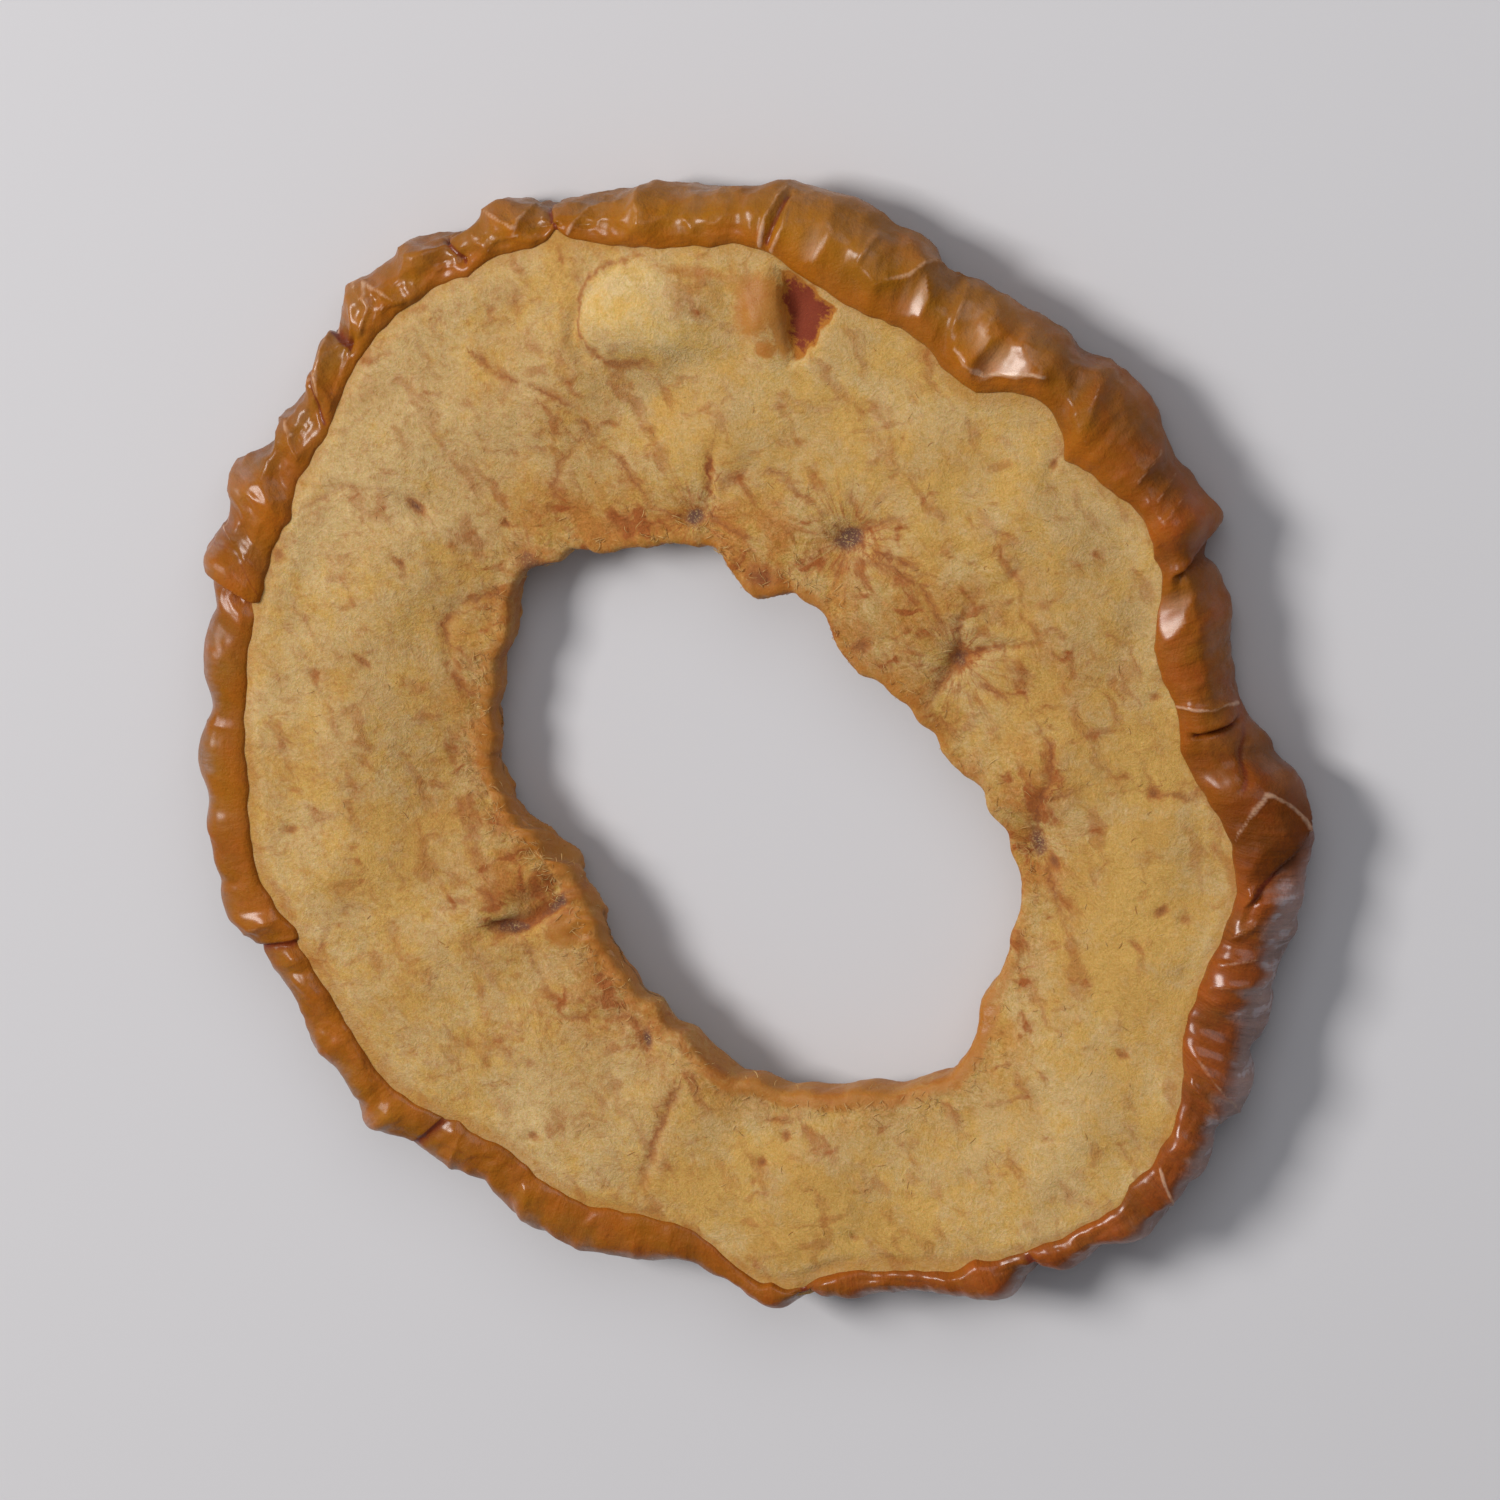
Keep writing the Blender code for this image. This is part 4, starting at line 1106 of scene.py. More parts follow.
def squarer_rim(angle, station):
    """How far the hole's upper edge is brought out, as x, y and z: from a quarter of an ellipse to a quarter
    of a superellipse."""
    turn = np.clip(station - RIM_STATION, 0, EDGE_STEPS) / EDGE_STEPS * math.pi / 2
    squarer = (np.sin(turn) ** EDGE_POWER + np.cos(turn) ** EDGE_POWER) ** (-1 / EDGE_POWER) - 1
    inward = squarer * CORE_EDGE_WIDTH * np.sin(turn)
    outer_x, outer_y, hole_x, hole_y = edges(angle)
    to_hole = (inward * gap / slice_width(angle) for gap in (hole_x - outer_x, hole_y - outer_y))
    return np.stack((*to_hole, squarer * CORE_EDGE_HALF_HEIGHT * np.cos(turn)), axis=-1)


def flesh_points(steps_round):
    """The flesh as a closed ring: it follows the skin from just below it, comes up to the cut face at the
    lip, and goes over the face, down the frayed wall of the hole and back along the underside."""
    hidden = np.array(HIDDEN_STATIONS)
    face = SKIN_STEPS + FLESH_STEPS * np.linspace(0.006, 1, FACE_ROWS)
    wall = RIM_STATION + EDGE_STEPS * np.linspace(0, 1, WALL_ROWS)[1:]
    under = np.linspace(RIM_STATION, SKIN_STEPS + 0.04, UNDERSIDE_ROWS)
    stations = np.concatenate((hidden, face, wall, -wall[-2::-1], -under, -hidden[:0:-1]))
    angle, station = ring_grid(steps_round, stations)

    climb = np.clip(station / SKIN_STEPS, -1, 1)
    points, out, _ = surface(angle, station)
    skin, skin_out, _, _ = skin_sheet(angle, climb)
    depth = FLESH_BELOW_LIP + (FLESH_BELOW_SKIN - FLESH_BELOW_LIP) * ease(np.abs(climb), 1.0, 0.82)
    skin = skin - skin_out * depth[..., None]

    x, y, z = np.moveaxis(points, -1, 0)
    marks = flesh_marks(x, y)
    top = ease(station, SKIN_STEPS, SKIN_STEPS + RELIEF_START)
    bottom = ease(-station, SKIN_STEPS, SKIN_STEPS + RELIEF_START)
    at_wall = ease(np.abs(station), 11.0, 12.6)
    along = (np.abs(station) - SKIN_STEPS) / FLESH_STEPS
    filled = 1.3 * GROOVE_DEPTH * around(angle, LEVELLED) * bell(along / GROOVE_PLACE - 1, 1)
    upper = flesh_height(x, y, marks) + filled
    height = top * (1 - at_wall) * upper + bottom * (1 - at_wall) * layered(x, y, UNDERSIDE_NOISE)
    height += around(angle, FRAY) * at_wall * layered(x + 0.9 * z, y - 0.7 * z, WALL_NOISE)
    flesh = points + out * height[..., None] + squarer_rim(angle, station)
    placed = np.where(np.abs(station)[..., None] < SKIN_STEPS, skin, flesh)
    return above_floor(placed), flesh_looks(angle, station, x, y, marks)


def centred(points):
    """Places in metres over the origin, from places on the slice in millimetres."""
    return (points - MIDDLE) * MM


def add_mesh(name, points, quads, looks, uv=None):
    """A mesh object in metres from arrays of points and four-cornered faces, with its looks as attributes."""
    mesh = bpy.data.meshes.new(name)
    mesh.vertices.add(len(points))
    mesh.vertices.foreach_set("co", points.astype(np.float32).ravel())
    mesh.loops.add(quads.size)
    mesh.loops.foreach_set("vertex_index", quads.astype(np.int32).ravel())
    mesh.polygons.add(len(quads))
    mesh.polygons.foreach_set("loop_start", np.arange(0, quads.size, 4, dtype=np.int32))
    mesh.polygons.foreach_set("use_smooth", np.ones(len(quads), bool))
    mesh.update(calc_edges=True)
    for look, values in looks.items():
        attribute = mesh.attributes.new(look, "FLOAT", "POINT")
        attribute.data.foreach_set("value", values.astype(np.float32).ravel())
    if uv is not None:
        mesh.uv_layers.new(name="OFBake").data.foreach_set("uv", uv.astype(np.float32).ravel())
    mesh.validate()
    thing = bpy.data.objects.new(name, mesh)
    bpy.context.scene.collection.objects.link(thing)
    return thing


def tube_faces(rounds, rows, closed):
    """Faces of a grid that closes across, and lengthwise too where it is closed, wound to point outwards."""
    i, j = np.meshgrid(np.arange(rounds if closed else rounds - 1), np.arange(rows), indexing="ij")
    after_i, after_j = (i + 1) % rounds, (j + 1) % rows
    corners = (i * rows + j, after_i * rows + j, after_i * rows + after_j, i * rows + after_j)
    return np.stack(corners, axis=-1).reshape(-1, 4)


def strip_map(rounds, rows, strips):
    """A flat map of a closed grid: the ring cut into strips, each laid over the map above the one before."""
    i, j = np.meshgrid(np.arange(rounds), np.arange(rows), indexing="ij")
    strip = i * strips // rounds
    start = strip * rounds / strips
    margin = 0.004
    corners = []
    for step_i, step_j in ((0, 0), (1, 0), (1, 1), (0, 1)):
        u = (i + step_i - start) * strips / rounds
        v = (j + step_j) / rows
        across = margin + u * (1 - 2 * margin)
        up = (strip + margin * strips + v * (1 - 2 * margin * strips)) / strips
        corners.append(np.stack((across, up), axis=-1))
    return np.stack(corners, axis=2).reshape(-1, 4, 2)


def add_ring(name, points, looks, strips):
    """A mesh object from a grid of places that closes both ways, with its looks and a map of some strips."""
    rounds, rows = points.shape[:2]
    quads, uv = tube_faces(rounds, rows, True), strip_map(rounds, rows, strips)
    return add_mesh(name, centred(points).reshape(-1, 3), quads, looks, uv)


def lining_points(rng):
    """Shreds of glassy core lining: each is a small curved sheet, closed as a flat tube, that stands a little
    off the hole's wall. Its height is the wall's, curled in at its edges, and it tapers to both ends."""
    points, quads, tints = [], [], []
    section_turn = np.arange(LINING_ROWS) / LINING_ROWS * math.tau
    along = np.linspace(-1, 1, LINING_ROUNDS)[:, None]
    for clock, station, length, width, lift, slant in LINING:
        taper = np.sqrt(np.clip(1 - along**2, 0.0, 1.0)) * (1 + 0.25 * np.sin(5 * along + clock))
        across = np.cos(section_turn) * taper
        thick = np.sin(section_turn) * LINING_THICKNESS * (0.3 + taper)
        angle = math.radians(clock) + along * length / 2 / LINING_RADIUS + np.zeros_like(across)
        place, out, _ = surface(angle, station + across * width / 2 * LINING_STATIONS + slant * along)
        off_wall = lift - LINING_CURL[0] * along**2 - LINING_CURL[1] * across**2
        place = place + out * (off_wall + thick)[..., None]
        quads.append(len(points) * across.size + tube_faces(LINING_ROUNDS, LINING_ROWS, False))
        points.append(place.reshape(-1, 3))
        tints.append(np.full(across.size, rng.uniform(0, 1)))
    return np.concatenate(points), np.concatenate(quads), np.concatenate(tints)


def fibre_points(count, rng):
    """Loose fibres as joined thin tubes with pointed ends.

    Each starts on the flesh, most of them along the upper edge of the hole, and its middle line is a bent
    arc: a seeded heading that turns at a steady rate, rising as a half sine over its length.
    """
    at_hole = rng.uniform(0, 1, count) < FIBRES_AT_HOLE
    clock = rng.uniform(0, math.tau, count)
    keep = rng.uniform(0, 1, count) < np.where(at_hole, around(clock, FRAY) / 1.5, 1.0)
    at_hole, clock = at_hole[keep], clock[keep]
    count = len(clock)
    station = np.where(at_hole, *(rng.uniform(*ends, count) for ends in FIBRE_STATIONS))
    place, out, _ = surface(clock, station)
    length = rng.uniform(*FIBRE_LENGTHS, count) * np.where(at_hole, 1.0, 0.75)
    heading = rng.uniform(0, math.tau, count)
    bend = rng.normal(0, FIBRE_BEND, count)
    rise = np.where(at_hole, *(rng.uniform(*ends, count) for ends in FIBRE_RISES))

    t = np.linspace(0, 1, FIBRE_RINGS)
    turn = (heading[:, None] + bend[:, None] * t)[..., None]
    first = unit(np.cross(out, (0.0, 0.0, 1.0)) + (0.3, 0.0, 0.0))
    second = unit(np.cross(out, first))
    first = np.cross(second, out)
    place, out, first, second = (each[:, None, :] for each in (place, out, first, second))
    step = length[:, None, None] / (FIBRE_RINGS - 1)
    height = (0.01 + rise[:, None] * np.sin(math.pi * t))[..., None]
    middle = place + np.cumsum(np.cos(turn) * step, axis=1) * first
    middle = middle + np.cumsum(np.sin(turn) * step, axis=1) * second + height * out
    across = -np.sin(turn) * first + np.cos(turn) * second
    radius = (FIBRE_RADIUS * np.sqrt(np.clip(1 - (2 * t - 1) ** 4, 0.02, 1)))[:, None, None]
    side = (np.arange(FIBRE_SIDES) / FIBRE_SIDES * math.tau)[:, None]
    spokes = np.cos(side) * across[:, :, None, :] + np.sin(side) * out[:, :, None, :]
    tube = middle[:, :, None, :] + radius * spokes
    one = tube_faces(FIBRE_RINGS, FIBRE_SIDES, False)[:, [0, 3, 2, 1]]
    each = FIBRE_RINGS * FIBRE_SIDES
    quads = (np.arange(count)[:, None, None] * each + one[None]).reshape(-1, 4)
    return tube.reshape(-1, 3), quads, np.repeat(rng.uniform(0, 1, count), each)


class Value:
    """One output of a material's node. Python's operators on it add Math nodes, and node() adds any other."""

    def __init__(self, tree, socket=None):
        self.tree = tree
        self.socket = socket

    def fill(self, node, inputs):
        """Gives each of these inputs of a node its value or its link."""
        for name, value in inputs.items():
            if isinstance(value, Value):
                self.tree.links.new(value.socket, node.inputs[name])
            else:
                node.inputs[name].default_value = value

    def node(self, kind, settings, inputs, output=0):
        """A node of this type, with its settings set first and then its inputs' values or links."""
        made = self.tree.nodes.new(kind)
        for name, setting in settings.items():
            setattr(made, name, setting)
        self.fill(made, inputs)
        return Value(self.tree, made.outputs[output])

    def maths(self, operation, *values, clamp=False):
        """Math on single values."""
        settings = {"operation": operation, "use_clamp": clamp}
        return self.node("ShaderNodeMath", settings, dict(enumerate(values)))

    def vector(self, operation, *values):
        """Vector Math on places or colours."""
        return self.node("ShaderNodeVectorMath", {"operation": operation}, dict(enumerate(values)))

    def __add__(self, other):
        return self.maths("ADD", self, other)

    def __radd__(self, other):
        return self.maths("ADD", other, self)

    def __sub__(self, other):
        return self.maths("SUBTRACT", self, other)

    def __rsub__(self, other):
        return self.maths("SUBTRACT", other, self)

    def __mul__(self, other):
        return self.maths("MULTIPLY", self, other)

    def __rmul__(self, other):
        return self.maths("MULTIPLY", other, self)

    def __abs__(self):
        return self.maths("ABSOLUTE", self)

    def clipped(self):
        """The value held between 0 and 1."""
        return self.maths("ADD", self, 0.0, clamp=True)

    def eased(self, low, high):
        """0 at low and 1 at high, with a smooth step between; low may be the higher one."""
        if low > high:
            return 1 - self.eased(high, low)
        settings = {"interpolation_type": "SMOOTHSTEP"}
        return self.node("ShaderNodeMapRange", settings, {"Value": self, "From Min": low, "From Max": high})

    def painted(self, colour, *coats):
        """A colour with others mixed in, one after another: each with how much it covers, held to 0 to 1."""
        for other, cover in coats:
            colour = self.node("ShaderNodeMix", {"data_type": "RGBA"}, {0: cover, 6: colour, 7: other}, 2)
        return colour

    def scaled(self, colour, amount):
        """A colour or place scaled by a value."""
        colour = colour if isinstance(colour, Value) else colour[:3]
        return self.node("ShaderNodeVectorMath", {"operation": "SCALE"}, {0: colour, "Scale": amount})

    def look(self, name):
        """One of the mesh's own attributes."""
        return self.node("ShaderNodeAttribute", {"attribute_name": name}, {}, "Fac")

    def edged(self, name, ragged, low, high):
        """One of the mesh's attributes, brought to 0 or 1 over a ragged edge."""
        return (self.look(name) + ragged).eased(low, high)

    def grain(self, place, size, detail=2.0, roughness=0.5, output=0):
        """Noise over a place in metres, with features of about a size in millimetres."""
        inputs = {"Vector": place, "Scale": 1 / (size * MM), "Detail": detail, "Roughness": roughness}
        return self.node("ShaderNodeTexNoise", {}, inputs, output)

    def band_place(self, level, climb, round_share, across_share):
        """A place on the skin's band as a cylinder of its radius, each direction scaled by its own share."""
        ring = self.scaled(level, SKIN_RADIUS * MM * round_share)
        up = self.node("ShaderNodeCombineXYZ", {}, {"Z": climb * (SKIN_REACH * MM * across_share)})
        return self.vector("ADD", ring, up)

    def stretched(self, place, turn, stretch):
        """A place turned about Z by degrees and stretched along Y, so that grain on it lies one way."""
        inputs = {"Vector": place, "Rotation": (0.0, 0.0, math.radians(turn)), "Scale": (1.0, stretch, 1.5)}
        return self.node("ShaderNodeMapping", {"vector_type": "TEXTURE"}, inputs)

    def bumped(self, height, strength, distance):
        """The surface's direction, tilted by a height whose full size is a distance in millimetres."""
        inputs = {"Height": height, "Strength": strength, "Distance": distance * MM}
        return self.node("ShaderNodeBump", {}, inputs, "Normal")

    def finish(self, **sockets):
        """Sets or links sockets of the material's shader, named with underscores for spaces."""
        named = {name.replace("_", " "): value for name, value in sockets.items()}
        self.fill(self.tree.nodes["Principled BSDF"], named)


def start_material(name):
    """A new material, a Value to build its nodes from, and its Object coordinates."""
    material = bpy.data.materials.new(name)
    material.use_nodes = True
    start = Value(material.node_tree)
    return material, start, start.node("ShaderNodeTexCoord", {}, {}, "Object")


def flesh_material(sizes):
    """Dried flesh: cream felt of short fibres that lie in patches of one direction, warmer and more mottled
    towards the hole, with brown dashes, veins and spots, plum bundle scars with painted glints, a paler
    blister partly by painted light, amber glassy places, and the dark red inside of the skin where the flesh
    has torn away."""
    material, start, place = start_material("dried flesh")
    bend = start.grain(place, FELT_BEND, output="Color")
    bent = start.vector("MULTIPLY_ADD", bend, (FELT_BEND * MM,) * 3, place)
    lain = (start.stretched(bent, turn, FELT_STRETCH) for turn in FELT_TURNS)
    felt = [start.grain(each, FELT_SIZE, 3.0, 0.66) for each in lain]
    weave = felt[0] + (felt[1] - felt[0]) * start.grain(place, 1.9, 1.0).eased(0.42, 0.54)
    weave = weave + (felt[2] - weave) * start.grain(place, 1.5, 1.0).eased(0.46, 0.58)
    fuzz = start.grain(place, 0.12, 2.0, 0.7)
    mottle = start.grain(place, 1.7, 3.0, 0.6)
    ragged = start.grain(place, 0.45, 3.0, 0.65) - 0.5
    warm, swollen, fan = start.look("warm"), start.look("pale"), start.look("fan")
    # The blister's paleness, partly painted light on the dome, adds to the pale patches
    pale = (1 - warm) * (0.20 + 0.38 * start.grain(place, 3.2, 3.0, 0.6).eased(0.40, 0.62)) + swollen

    # Rusty streaks: ragged noise drawn out in two directions, over a threshold
    long_streaks = start.grain(start.stretched(bent, 25, 2.6), 1.2, 3.0, 0.5).eased(0.53, 0.70)
    short_streaks = start.grain(start.stretched(bent, 105, 2.6), 0.8, 3.0, 0.5).eased(0.55, 0.74)
    rusty = (long_streaks + short_streaks) * (0.50 + 1.50 * warm) * (1 - swollen)

    # The flesh fans out from each scar: noise read by direction alone, which draws it out along the rays
    heading = {"X": start.look("fan_x") * MM, "Y": start.look("fan_y") * MM}
    rays = start.grain(start.node("ShaderNodeCombineXYZ", {}, heading), 0.13, 3.0, 0.7)
    colour = start.painted(
        sizes.flesh_colour,
        (sizes.pale_colour, pale),
        (sizes.tan_colour, 1.9 * warm * mottle.eased(0.38, 0.62)),
        (sizes.rust_colour, 0.9 * rusty),
        (sizes.rust_colour, 0.8 * fan * rays.eased(0.50, 0.66)),
        (sizes.pale_colour, 0.4 * fan * rays.eased(0.50, 0.36)),
    )

    # Its hue wanders from pale cream to a darker gold, and each fleck has its tone
    hue = 0.15 * start.grain(place, 0.40, 2.0, 0.6) + 0.66 * start.grain(place, 1.6, 3.0, 0.6)
    hue = hue + 0.42 * start.grain(place, 4.5, 2.0, 0.5) + 0.11 * start.look("golden")
    tint = start.painted(PALE_TINT, (GOLDEN_TINT, hue.eased(0.48, 0.75)))
    flecks = (0.62 * weave + 0.55 * fuzz + 0.3 * fan * rays - 0.66 - 0.15 * fan) * (0.95 + 0.9 * warm)
    toned = start.vector("MULTIPLY_ADD", flecks, FLECK_TINT, (1.0, 1.0, 1.0))
    colour = start.vector("MULTIPLY", start.vector("MULTIPLY", colour, tint), toned)

    away = abs(start.look("vein_side") + ragged)
    broken = start.look("vein") * mottle.eased(0.30, 0.56)
    spot = start.look("brown") + 0.8 * ragged
    plum = start.edged("plum", 0.7 * ragged, 0.25, 0.85)
    rim = start.edged("rim", 0.7 * ragged, 0.30, 0.85)
    amber = start.edged("amber", 0.7 * ragged, 0.25, 0.75)
    hollow = start.edged("hollow", 0.25 * ragged, 0.02, 0.22)
    shallow = (start.look("hollow") + 1.5 * (weave - 0.5) + 1.2 * ragged).eased(0.80, 0.30)
    colour = start.painted(
        colour,
        (sizes.rust_colour, 1.1 * away.eased(0.44, 0.04) * broken),
        (sizes.brown_colour, 0.7 * away.eased(0.15, 0.0) * broken),
        (sizes.rust_colour, 0.7 * spot.eased(0.12, 0.6)),
        (sizes.brown_colour, 0.8 * spot.eased(0.45, 1.0)),
        (sizes.plum_colour, 0.8 * plum),
        # Pale flecks on the plum scars: painted glints
        (sizes.pale_colour, 0.5 * plum * fuzz.eased(0.54, 0.62)),
        (sizes.amber_colour, 0.8 * rim),
        (sizes.amber_colour, 0.8 * amber),
        (start.painted(sizes.torn_colour, (sizes.amber_colour, shallow)), hollow),
        (sizes.amber_colour, 0.35 * start.look("lip")),
    )
    smooth = (0.7 * amber * (1 - hollow) + 0.5 * rim).clipped()
    relief = (1 - 0.7 * smooth) * (weave + 0.55 * fuzz + 0.6 * fan * rays) + 0.3 * mottle
    start.finish(
        Base_Color=colour, Roughness=0.78 - 0.42 * smooth, Normal=start.bumped(relief, 0.5, 0.15),
        Subsurface_Weight=0.25, Subsurface_Radius=(1.0, 0.5, 0.2), Subsurface_Scale=0.8 * MM,
        Specular_IOR_Level=0.3, Sheen_Weight=0.06, Sheen_Roughness=0.5,
    )
    return material


def skin_material(sizes):
    """Dried skin: clear amber that turns redder round one side, with dark red painted shade in its valleys
    and sunken pleats, duller and bloomed with grey lilac on its outer side, partly painted sheen, pale along
    sharp crests, partly painted highlight, and painted milky highlights where flats gleam, under an uneven
    gloss."""
    material, start, place = start_material("dried skin")
    climb, wrinkled, gleam = start.look("climb"), start.look("wrinkled"), start.look("gleam")
    redness, shaded = start.look("redness"), start.look("shade")
    cloudy = start.grain(place, 2.2, 3.0, 0.6)
    fine = start.grain(place, 0.45, 3.0, 0.6)

    # The band as a cylinder, squeezed one way or the other, so that wrinkles cross it or follow it
    level = start.vector("NORMALIZE", start.vector("MULTIPLY", place, (1.0, 1.0, 0.0)))
    crossing = start.band_place(level, climb, 1.0, 0.14)
    following = start.band_place(level, climb, 0.12, 1.0)
    cross = start.grain(crossing, 0.42, 3.0, 0.6)
    comb = start.grain(crossing, 1.1, 2.0, 0.5)
    cloud, speck, tooth = cloudy - 0.5, fine - 0.5, comb - 0.5

    near_lip = (climb + 0.3 * cloud).eased(0.55, 0.85)
    outside = (climb + 0.5 * cloud + 0.4 * tooth).eased(0.62, 0.12)
    rimmed = (climb + 0.4 * cloud + 0.5 * tooth).eased(0.52, 0.28)
    # Grey lilac bloom on the outer side in blotches, with a painted sheen along the outer rim
    blotch = 0.5 * start.grain(crossing, 0.8, 4.0, 0.65) + 0.5 * start.grain(place, 1.2, 3.0, 0.6)
    blotch = blotch.eased(0.50, 0.60)
    bloom_and_sheen = start.look("bloom_and_sheen") * (0.3 * outside * blotch + 0.75 * rimmed * (0.55 + 0.45 * blotch))
    bloom_and_sheen = (bloom_and_sheen * (1 - shaded)).clipped()
    shade = (shaded + 0.3 * speck).clipped()
    colour = start.painted(
        sizes.amber_skin_colour,
        (sizes.red_skin_colour, redness + 1.6 * cloud + 0.3 * tooth),
        (sizes.lip_colour, 0.6 * near_lip * (1 - 0.6 * redness)),
        (sizes.dull_skin_colour, 0.72 * outside * start.look("dull")),
        (sizes.bloom_and_sheen_colour, 0.9 * bloom_and_sheen),
        (sizes.red_skin_colour, 0.4 * shade),
    )
    # Sunken pleats are darkened as painted shade
    tone = 0.66 + 0.30 * fine + 0.55 * cloudy - 0.32 * shade - 0.35 * start.look("sunk")
    colour = start.scaled(colour, tone + wrinkled * (0.5 * cross + 0.2 * comb - 0.35))
    # Painted shade in the slits and valleys
    dark = start.edged("valley", 0.35 * speck, 0.24, 0.78)
    # Pale crests, partly the skin's own and partly painted highlight, and a painted milky highlight where a
    # flat gleams
    crest = (start.look("pale") + 0.5 * speck + 1.2 * cloud).eased(0.40, 0.95)
    colour = start.painted(
        colour,
        (sizes.slit_shade_colour, 0.85 * dark),
        (sizes.crest_and_highlight_colour, 0.60 * crest + 0.35 * gleam * comb.eased(0.35, 0.60)),
        (sizes.lip_colour, start.look("inside").eased(0.3, 0.8)),
    )

    along, pores = start.grain(following, 0.45, 2.5, 0.6), start.grain(place, 0.26, 3.0, 0.7)
    relief = wrinkled * (2.0 * cross + 1.0 * comb) + 0.3 * along + 0.8 * pores + 0.5 * cloudy
    gloss = 0.12 + 0.50 * start.grain(place, 1.7, 3.0, 0.6).eased(0.42, 0.60) + 0.45 * wrinkled + 0.7 * gleam
    start.finish(
        Base_Color=colour, Roughness=(0.40 + 0.15 * cloudy + 0.25 * bloom_and_sheen).clipped(),
        Normal=start.bumped(relief, 0.7, 0.14), Subsurface_Weight=0.10, Subsurface_Radius=(1.0, 0.35, 0.12),
        Subsurface_Scale=0.8 * MM, Coat_Weight=(gloss * (1 - 0.9 * bloom_and_sheen) * (1 - 0.7 * shade)).clipped(),
        Coat_Roughness=0.22, Coat_IOR=1.4, Specular_IOR_Level=0.08,
    )
    return material


def lining_material(sizes):
    """Core lining: glassy amber shreds, each a little lighter or darker."""
    material, start, place = start_material("core lining")
    cloudy = start.grain(place, 0.9, 3.0)
    colour = start.painted(sizes.amber_colour, (sizes.tan_colour, start.look("tint") * 0.7))
    start.finish(
        Base_Color=start.scaled(colour, 0.8 + 0.4 * cloudy), Roughness=0.28 + 0.2 * cloudy,
        Normal=start.bumped(cloudy, 0.5, 0.1), Coat_Weight=0.3, Coat_Roughness=0.2,
    )
    return material


def fibre_material(sizes):
    """Loose fibres: pale cream to tan, each its own tint."""
    material, start, place = start_material("loose fibres")
    colour = start.painted(sizes.pale_colour, (sizes.tan_colour, start.look("tint")))
    start.finish(Base_Color=start.scaled(colour, 0.9 + 0.2 * start.grain(place, 0.4, 2.0)), Roughness=0.75)
    return material


def floor_material(stage):
    """A plain pale floor with the faintest unevenness of tone."""
    material, start, place = start_material("pale floor")
    tone = start.node("ShaderNodeTexNoise", {}, {"Vector": place, "Scale": 14.0, "Detail": 3.0})
    start.finish(Base_Color=start.scaled(stage.floor_colour, 0.985 + 0.03 * tone), Roughness=0.85)
    return material


def place_piece(thing, material, slot, *nodes):
    """Gives a finished piece its material and body and hides the solids it stands for; the slot is not used.
    """
    thing.data.materials.append(material)
    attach(thing, "root")
    if nodes:
        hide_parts(*nodes)


def colour_of(name, value, description):
    """A colour that a user may change."""
    return bpy.props.FloatVectorProperty(
        name=name, description=description, subtype="COLOR", size=4, min=0.0, max=1.0, default=(*value, 1.0)
    )


def number_of(name, value, low, high, description, kind=bpy.props.FloatProperty, **more):
    """A number between two limits that a user may change."""
    return kind(name=name, description=description, default=value, min=low, max=high, **more)


def count_of(*about):
    """A whole number between two limits that a user may change."""
    return number_of(*about, kind=bpy.props.IntProperty)


class RingLooks(bpy.types.PropertyGroup):
    """What a user would change on the ring itself."""

    flesh_rounds: count_of("Flesh steps", 800, 60, 810, "Steps of the flesh round the ring")
    skin_rounds: count_of("Skin steps", 1440, 90, 1500, "Steps of the skin round the ring")
    fibres: count_of("Fibres", 2200, 0, 4000, "Loose fibres tried, before the frayed places choose")
    flesh_colour: colour_of("Flesh", (0.510, 0.298, 0.088), "Cut flesh away from the hole")
    pale_colour: colour_of("Pale flesh", (0.660, 0.450, 0.172), "Its lightest patches")
    tan_colour: colour_of("Tan flesh", (0.470, 0.210, 0.048), "Flesh near the hole")
    rust_colour: colour_of("Rusty flesh", (0.340, 0.100, 0.016), "Browned mottling")
    brown_colour: colour_of("Brown marks", (0.190, 0.055, 0.014), "Dashes, veins and spots")
    plum_colour: colour_of("Plum scars", (0.120, 0.058, 0.045), "Middles of the bundle scars")
    amber_colour: colour_of("Amber flesh", (0.400, 0.140, 0.011), "Glassy flesh and core lining")
    amber_skin_colour: colour_of("Amber skin", (0.360, 0.132, 0.006), "The skin's yellowest amber")
    red_skin_colour: colour_of("Red skin", (0.270, 0.058, 0.005), "The skin's reddest amber")
    lip_colour: colour_of("Skin lip", (0.370, 0.100, 0.005), "Skin next to the flesh")
    dull_skin_colour: colour_of("Dull skin", (0.185, 0.074, 0.022), "The skin's outer side")
    # Grey lilac bloom, partly painted sheen
    bloom_and_sheen_colour: colour_of("Bloom", (0.440, 0.370, 0.380), "Grey lilac bloom on the skin")
    # Painted shade in the slits and valleys
    slit_shade_colour: colour_of("Dark slits", (0.160, 0.021, 0.006), "Valleys of the skin")
    torn_colour: colour_of("Torn hollow", (0.200, 0.028, 0.006), "Inside of the skin where the flesh is torn")
    # Pale crests, partly painted highlight, and painted milky highlights
    crest_and_highlight_colour: colour_of("Pale crests", (0.680, 0.440, 0.290), "Sharp crests of the skin")


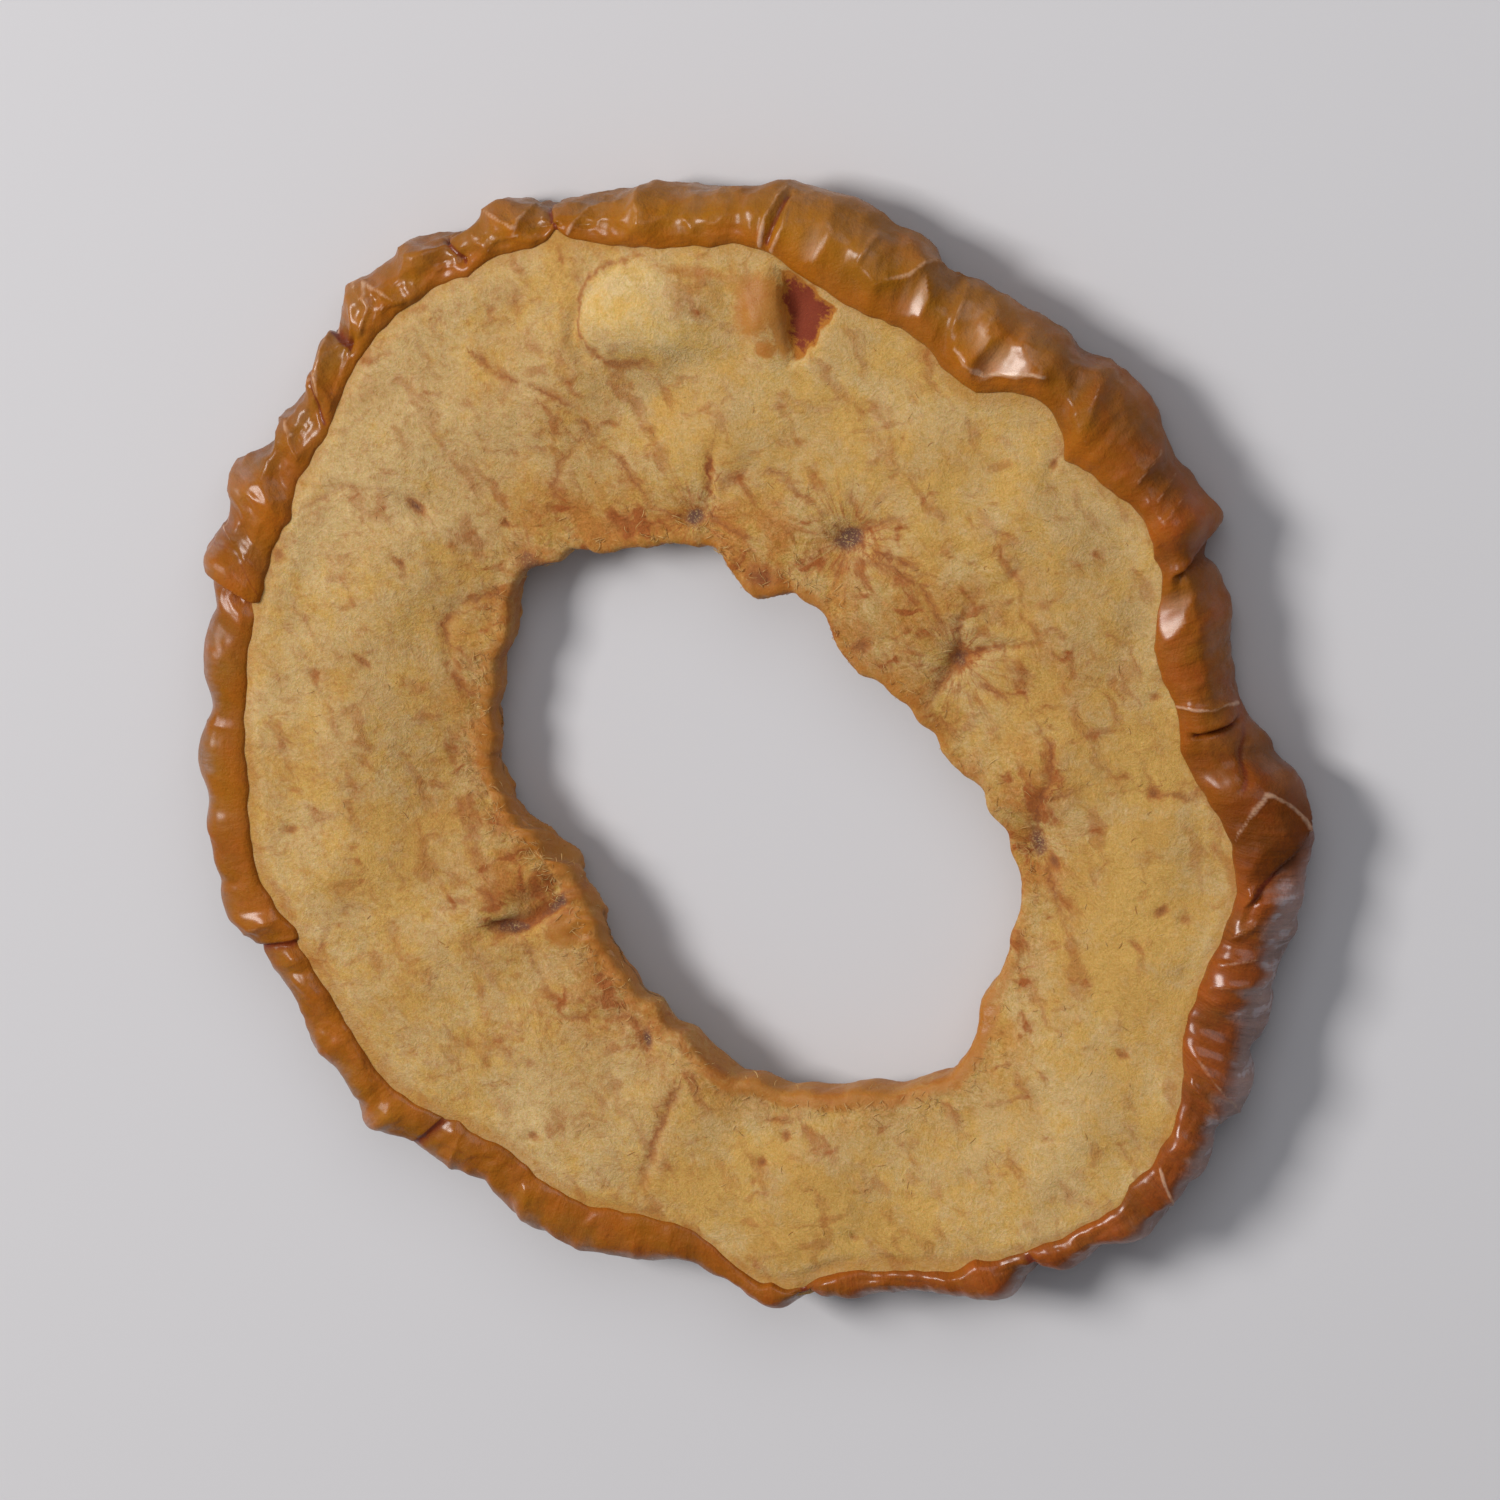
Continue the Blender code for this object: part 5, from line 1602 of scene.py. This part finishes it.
class StageLooks(bpy.types.PropertyGroup):
    """What a user would change about the floor, the light and the camera."""

    floor_colour: colour_of("Floor", (0.600, 0.590, 0.610), "The pale floor")
    floor_size: number_of("Floor size", 1.6, 0.2, 10.0, "Side of the square floor", unit="LENGTH")
    tilt: number_of("Tilt", math.radians(24), 0.0, math.radians(89), "Lean of the view", subtype="ANGLE")
    lens: number_of("Lens", 250.0, 20.0, 400.0, "Focal length of the camera in millimetres")
    fill_of_frame: number_of("Fill", 0.78, 0.1, 1.0, "The ring's width as a share of the picture")
    key_power: number_of("Key light", 2.8, 0.0, 100.0, "Power of the large soft light", unit="POWER")
    fill_power: number_of("Fill light", 0.85, 0.0, 100.0, "Power of the weaker light", unit="POWER")
    sky: number_of("Sky", 0.20, 0.0, 4.0, "Strength of the even light from all round")


class RING_OT_flesh(bpy.types.Operator):
    """Make the dried flesh, which stands for the ring's solid"""

    bl_idname = "dried_ring.flesh"
    bl_label = "Dried flesh"

    def execute(self, context):
        sizes = context.scene.ring_looks
        flesh = add_ring("ring_flesh", *flesh_points(sizes.flesh_rounds), 2)
        place_piece(flesh, flesh_material(sizes), "dried_flesh", "apple_ring")
        return {"FINISHED"}


class RING_OT_skin(bpy.types.Operator):
    """Make the pleated band of dried skin round the flesh"""

    bl_idname = "dried_ring.skin"
    bl_label = "Dried skin"

    def execute(self, context):
        sizes = context.scene.ring_looks
        skin = add_ring("ring_skin", *skin_points(sizes.skin_rounds), 4)
        place_piece(skin, skin_material(sizes), "dried_skin")
        return {"FINISHED"}


class RING_OT_lining(bpy.types.Operator):
    """Make the glassy shreds of core lining on the hole's wall"""

    bl_idname = "dried_ring.lining"
    bl_label = "Core lining"

    def execute(self, context):
        points, quads, tint = lining_points(np.random.default_rng(SEED + 10))
        lining = add_mesh("core_lining", centred(points), quads, {"tint": tint})
        place_piece(lining, lining_material(context.scene.ring_looks), "dried_flesh")
        return {"FINISHED"}


class RING_OT_fibres(bpy.types.Operator):
    """Make the loose fibres round the hole and on the cut face"""

    bl_idname = "dried_ring.fibres"
    bl_label = "Loose fibres"

    def execute(self, context):
        sizes = context.scene.ring_looks
        points, quads, tint = fibre_points(sizes.fibres, np.random.default_rng(SEED + 11))
        fibres = add_mesh("loose_fibres", centred(points), quads, {"tint": tint})
        place_piece(fibres, fibre_material(sizes), "dried_flesh")
        return {"FINISHED"}


def soft_light(name, place, size, colour, power):
    """A square area light that faces the ring."""
    light = bpy.data.lights.new(name, "AREA")
    light.shape = "SQUARE"
    light.size = size
    light.energy = power
    light.color = colour
    lamp = bpy.data.objects.new(name, light)
    lamp.matrix_world = Matrix.Translation(place) @ Vector(place).to_track_quat("Z", "Y").to_matrix().to_4x4()
    bpy.context.scene.collection.objects.link(lamp)
    return lamp


class RING_OT_stage(bpy.types.Operator):
    """Make the pale floor, the soft lights and the camera at the photograph's angle"""

    bl_idname = "dried_ring.stage"
    bl_label = "Floor, light and camera"

    def execute(self, context):
        stage, scene = context.scene.stage_looks, context.scene
        half = stage.floor_size / 2
        corners = np.array(((-half, -half, 0), (half, -half, 0), (half, half, 0), (-half, half, 0)), float)
        corners[:, 2] = -FLOOR_DROP * MM
        floor = add_mesh("floor", corners, np.array([[0, 1, 2, 3]]), {})
        floor.data.materials.append(floor_material(stage))

        world = bpy.data.worlds.new("soft room")
        world.use_nodes = True
        background = world.node_tree.nodes["Background"]
        background.inputs["Color"].default_value = SKY_COLOUR
        background.inputs["Strength"].default_value = stage.sky
        scene.world = world
        soft_light(*KEY_LIGHT, stage.key_power)
        soft_light(*FILL_LIGHT, stage.fill_power)

        # The camera leans towards +X and +Y alike, so that the ring's +Y stays up in the picture
        camera = bpy.data.cameras.new("camera")
        camera.lens = stage.lens
        camera.sensor_width = SENSOR_WIDTH
        camera.clip_start = NEAREST_SEEN
        width = RING_HIGH.y - RING_LOW.y
        distance = width / stage.fill_of_frame * camera.lens / camera.sensor_width
        lean = Matrix.Rotation(stage.tilt, 4, Vector((-1.0, 1.0, 0.0)))
        target = Vector((0.0, 0.0, (RING_LOW.z + RING_HIGH.z) / 2))
        viewer = bpy.data.objects.new("camera", camera)
        viewer.matrix_world = Matrix.Translation(target) @ lean @ Matrix.Translation((0.0, 0.0, distance))
        scene.collection.objects.link(viewer)
        scene.camera = viewer
        scene.view_settings.view_transform = "Standard"
        return {"FINISHED"}


class RING_PT_panel(bpy.types.Panel):
    """The ring's pieces and looks, in the 3D view's sidebar"""

    bl_idname = "RING_PT_panel"
    bl_label = "Dried ring"
    bl_space_type = "VIEW_3D"
    bl_region_type = "UI"
    bl_category = "Dried ring"

    def draw(self, context):
        layout = self.layout
        for maker in MAKERS:
            layout.operator(maker.bl_idname)
        for group in (context.scene.ring_looks, context.scene.stage_looks):
            box = layout.box()
            for name in group.__annotations__:
                box.prop(group, name)


MAKERS = (RING_OT_flesh, RING_OT_skin, RING_OT_lining, RING_OT_fibres, RING_OT_stage)
CLASSES = (RingLooks, StageLooks, *MAKERS, RING_PT_panel)


def register():
    for kind in CLASSES:
        bpy.utils.register_class(kind)
    bpy.types.Scene.ring_looks = bpy.props.PointerProperty(type=RingLooks)
    bpy.types.Scene.stage_looks = bpy.props.PointerProperty(type=StageLooks)


def unregister():
    del bpy.types.Scene.stage_looks
    del bpy.types.Scene.ring_looks
    for kind in reversed(CLASSES):
        bpy.utils.unregister_class(kind)


def main():
    register()
    bpy.ops.dried_ring.flesh()
    bpy.ops.dried_ring.skin()
    bpy.ops.dried_ring.lining()
    bpy.ops.dried_ring.fibres()
    bpy.ops.dried_ring.stage()


if __name__ == "__main__":
    main()
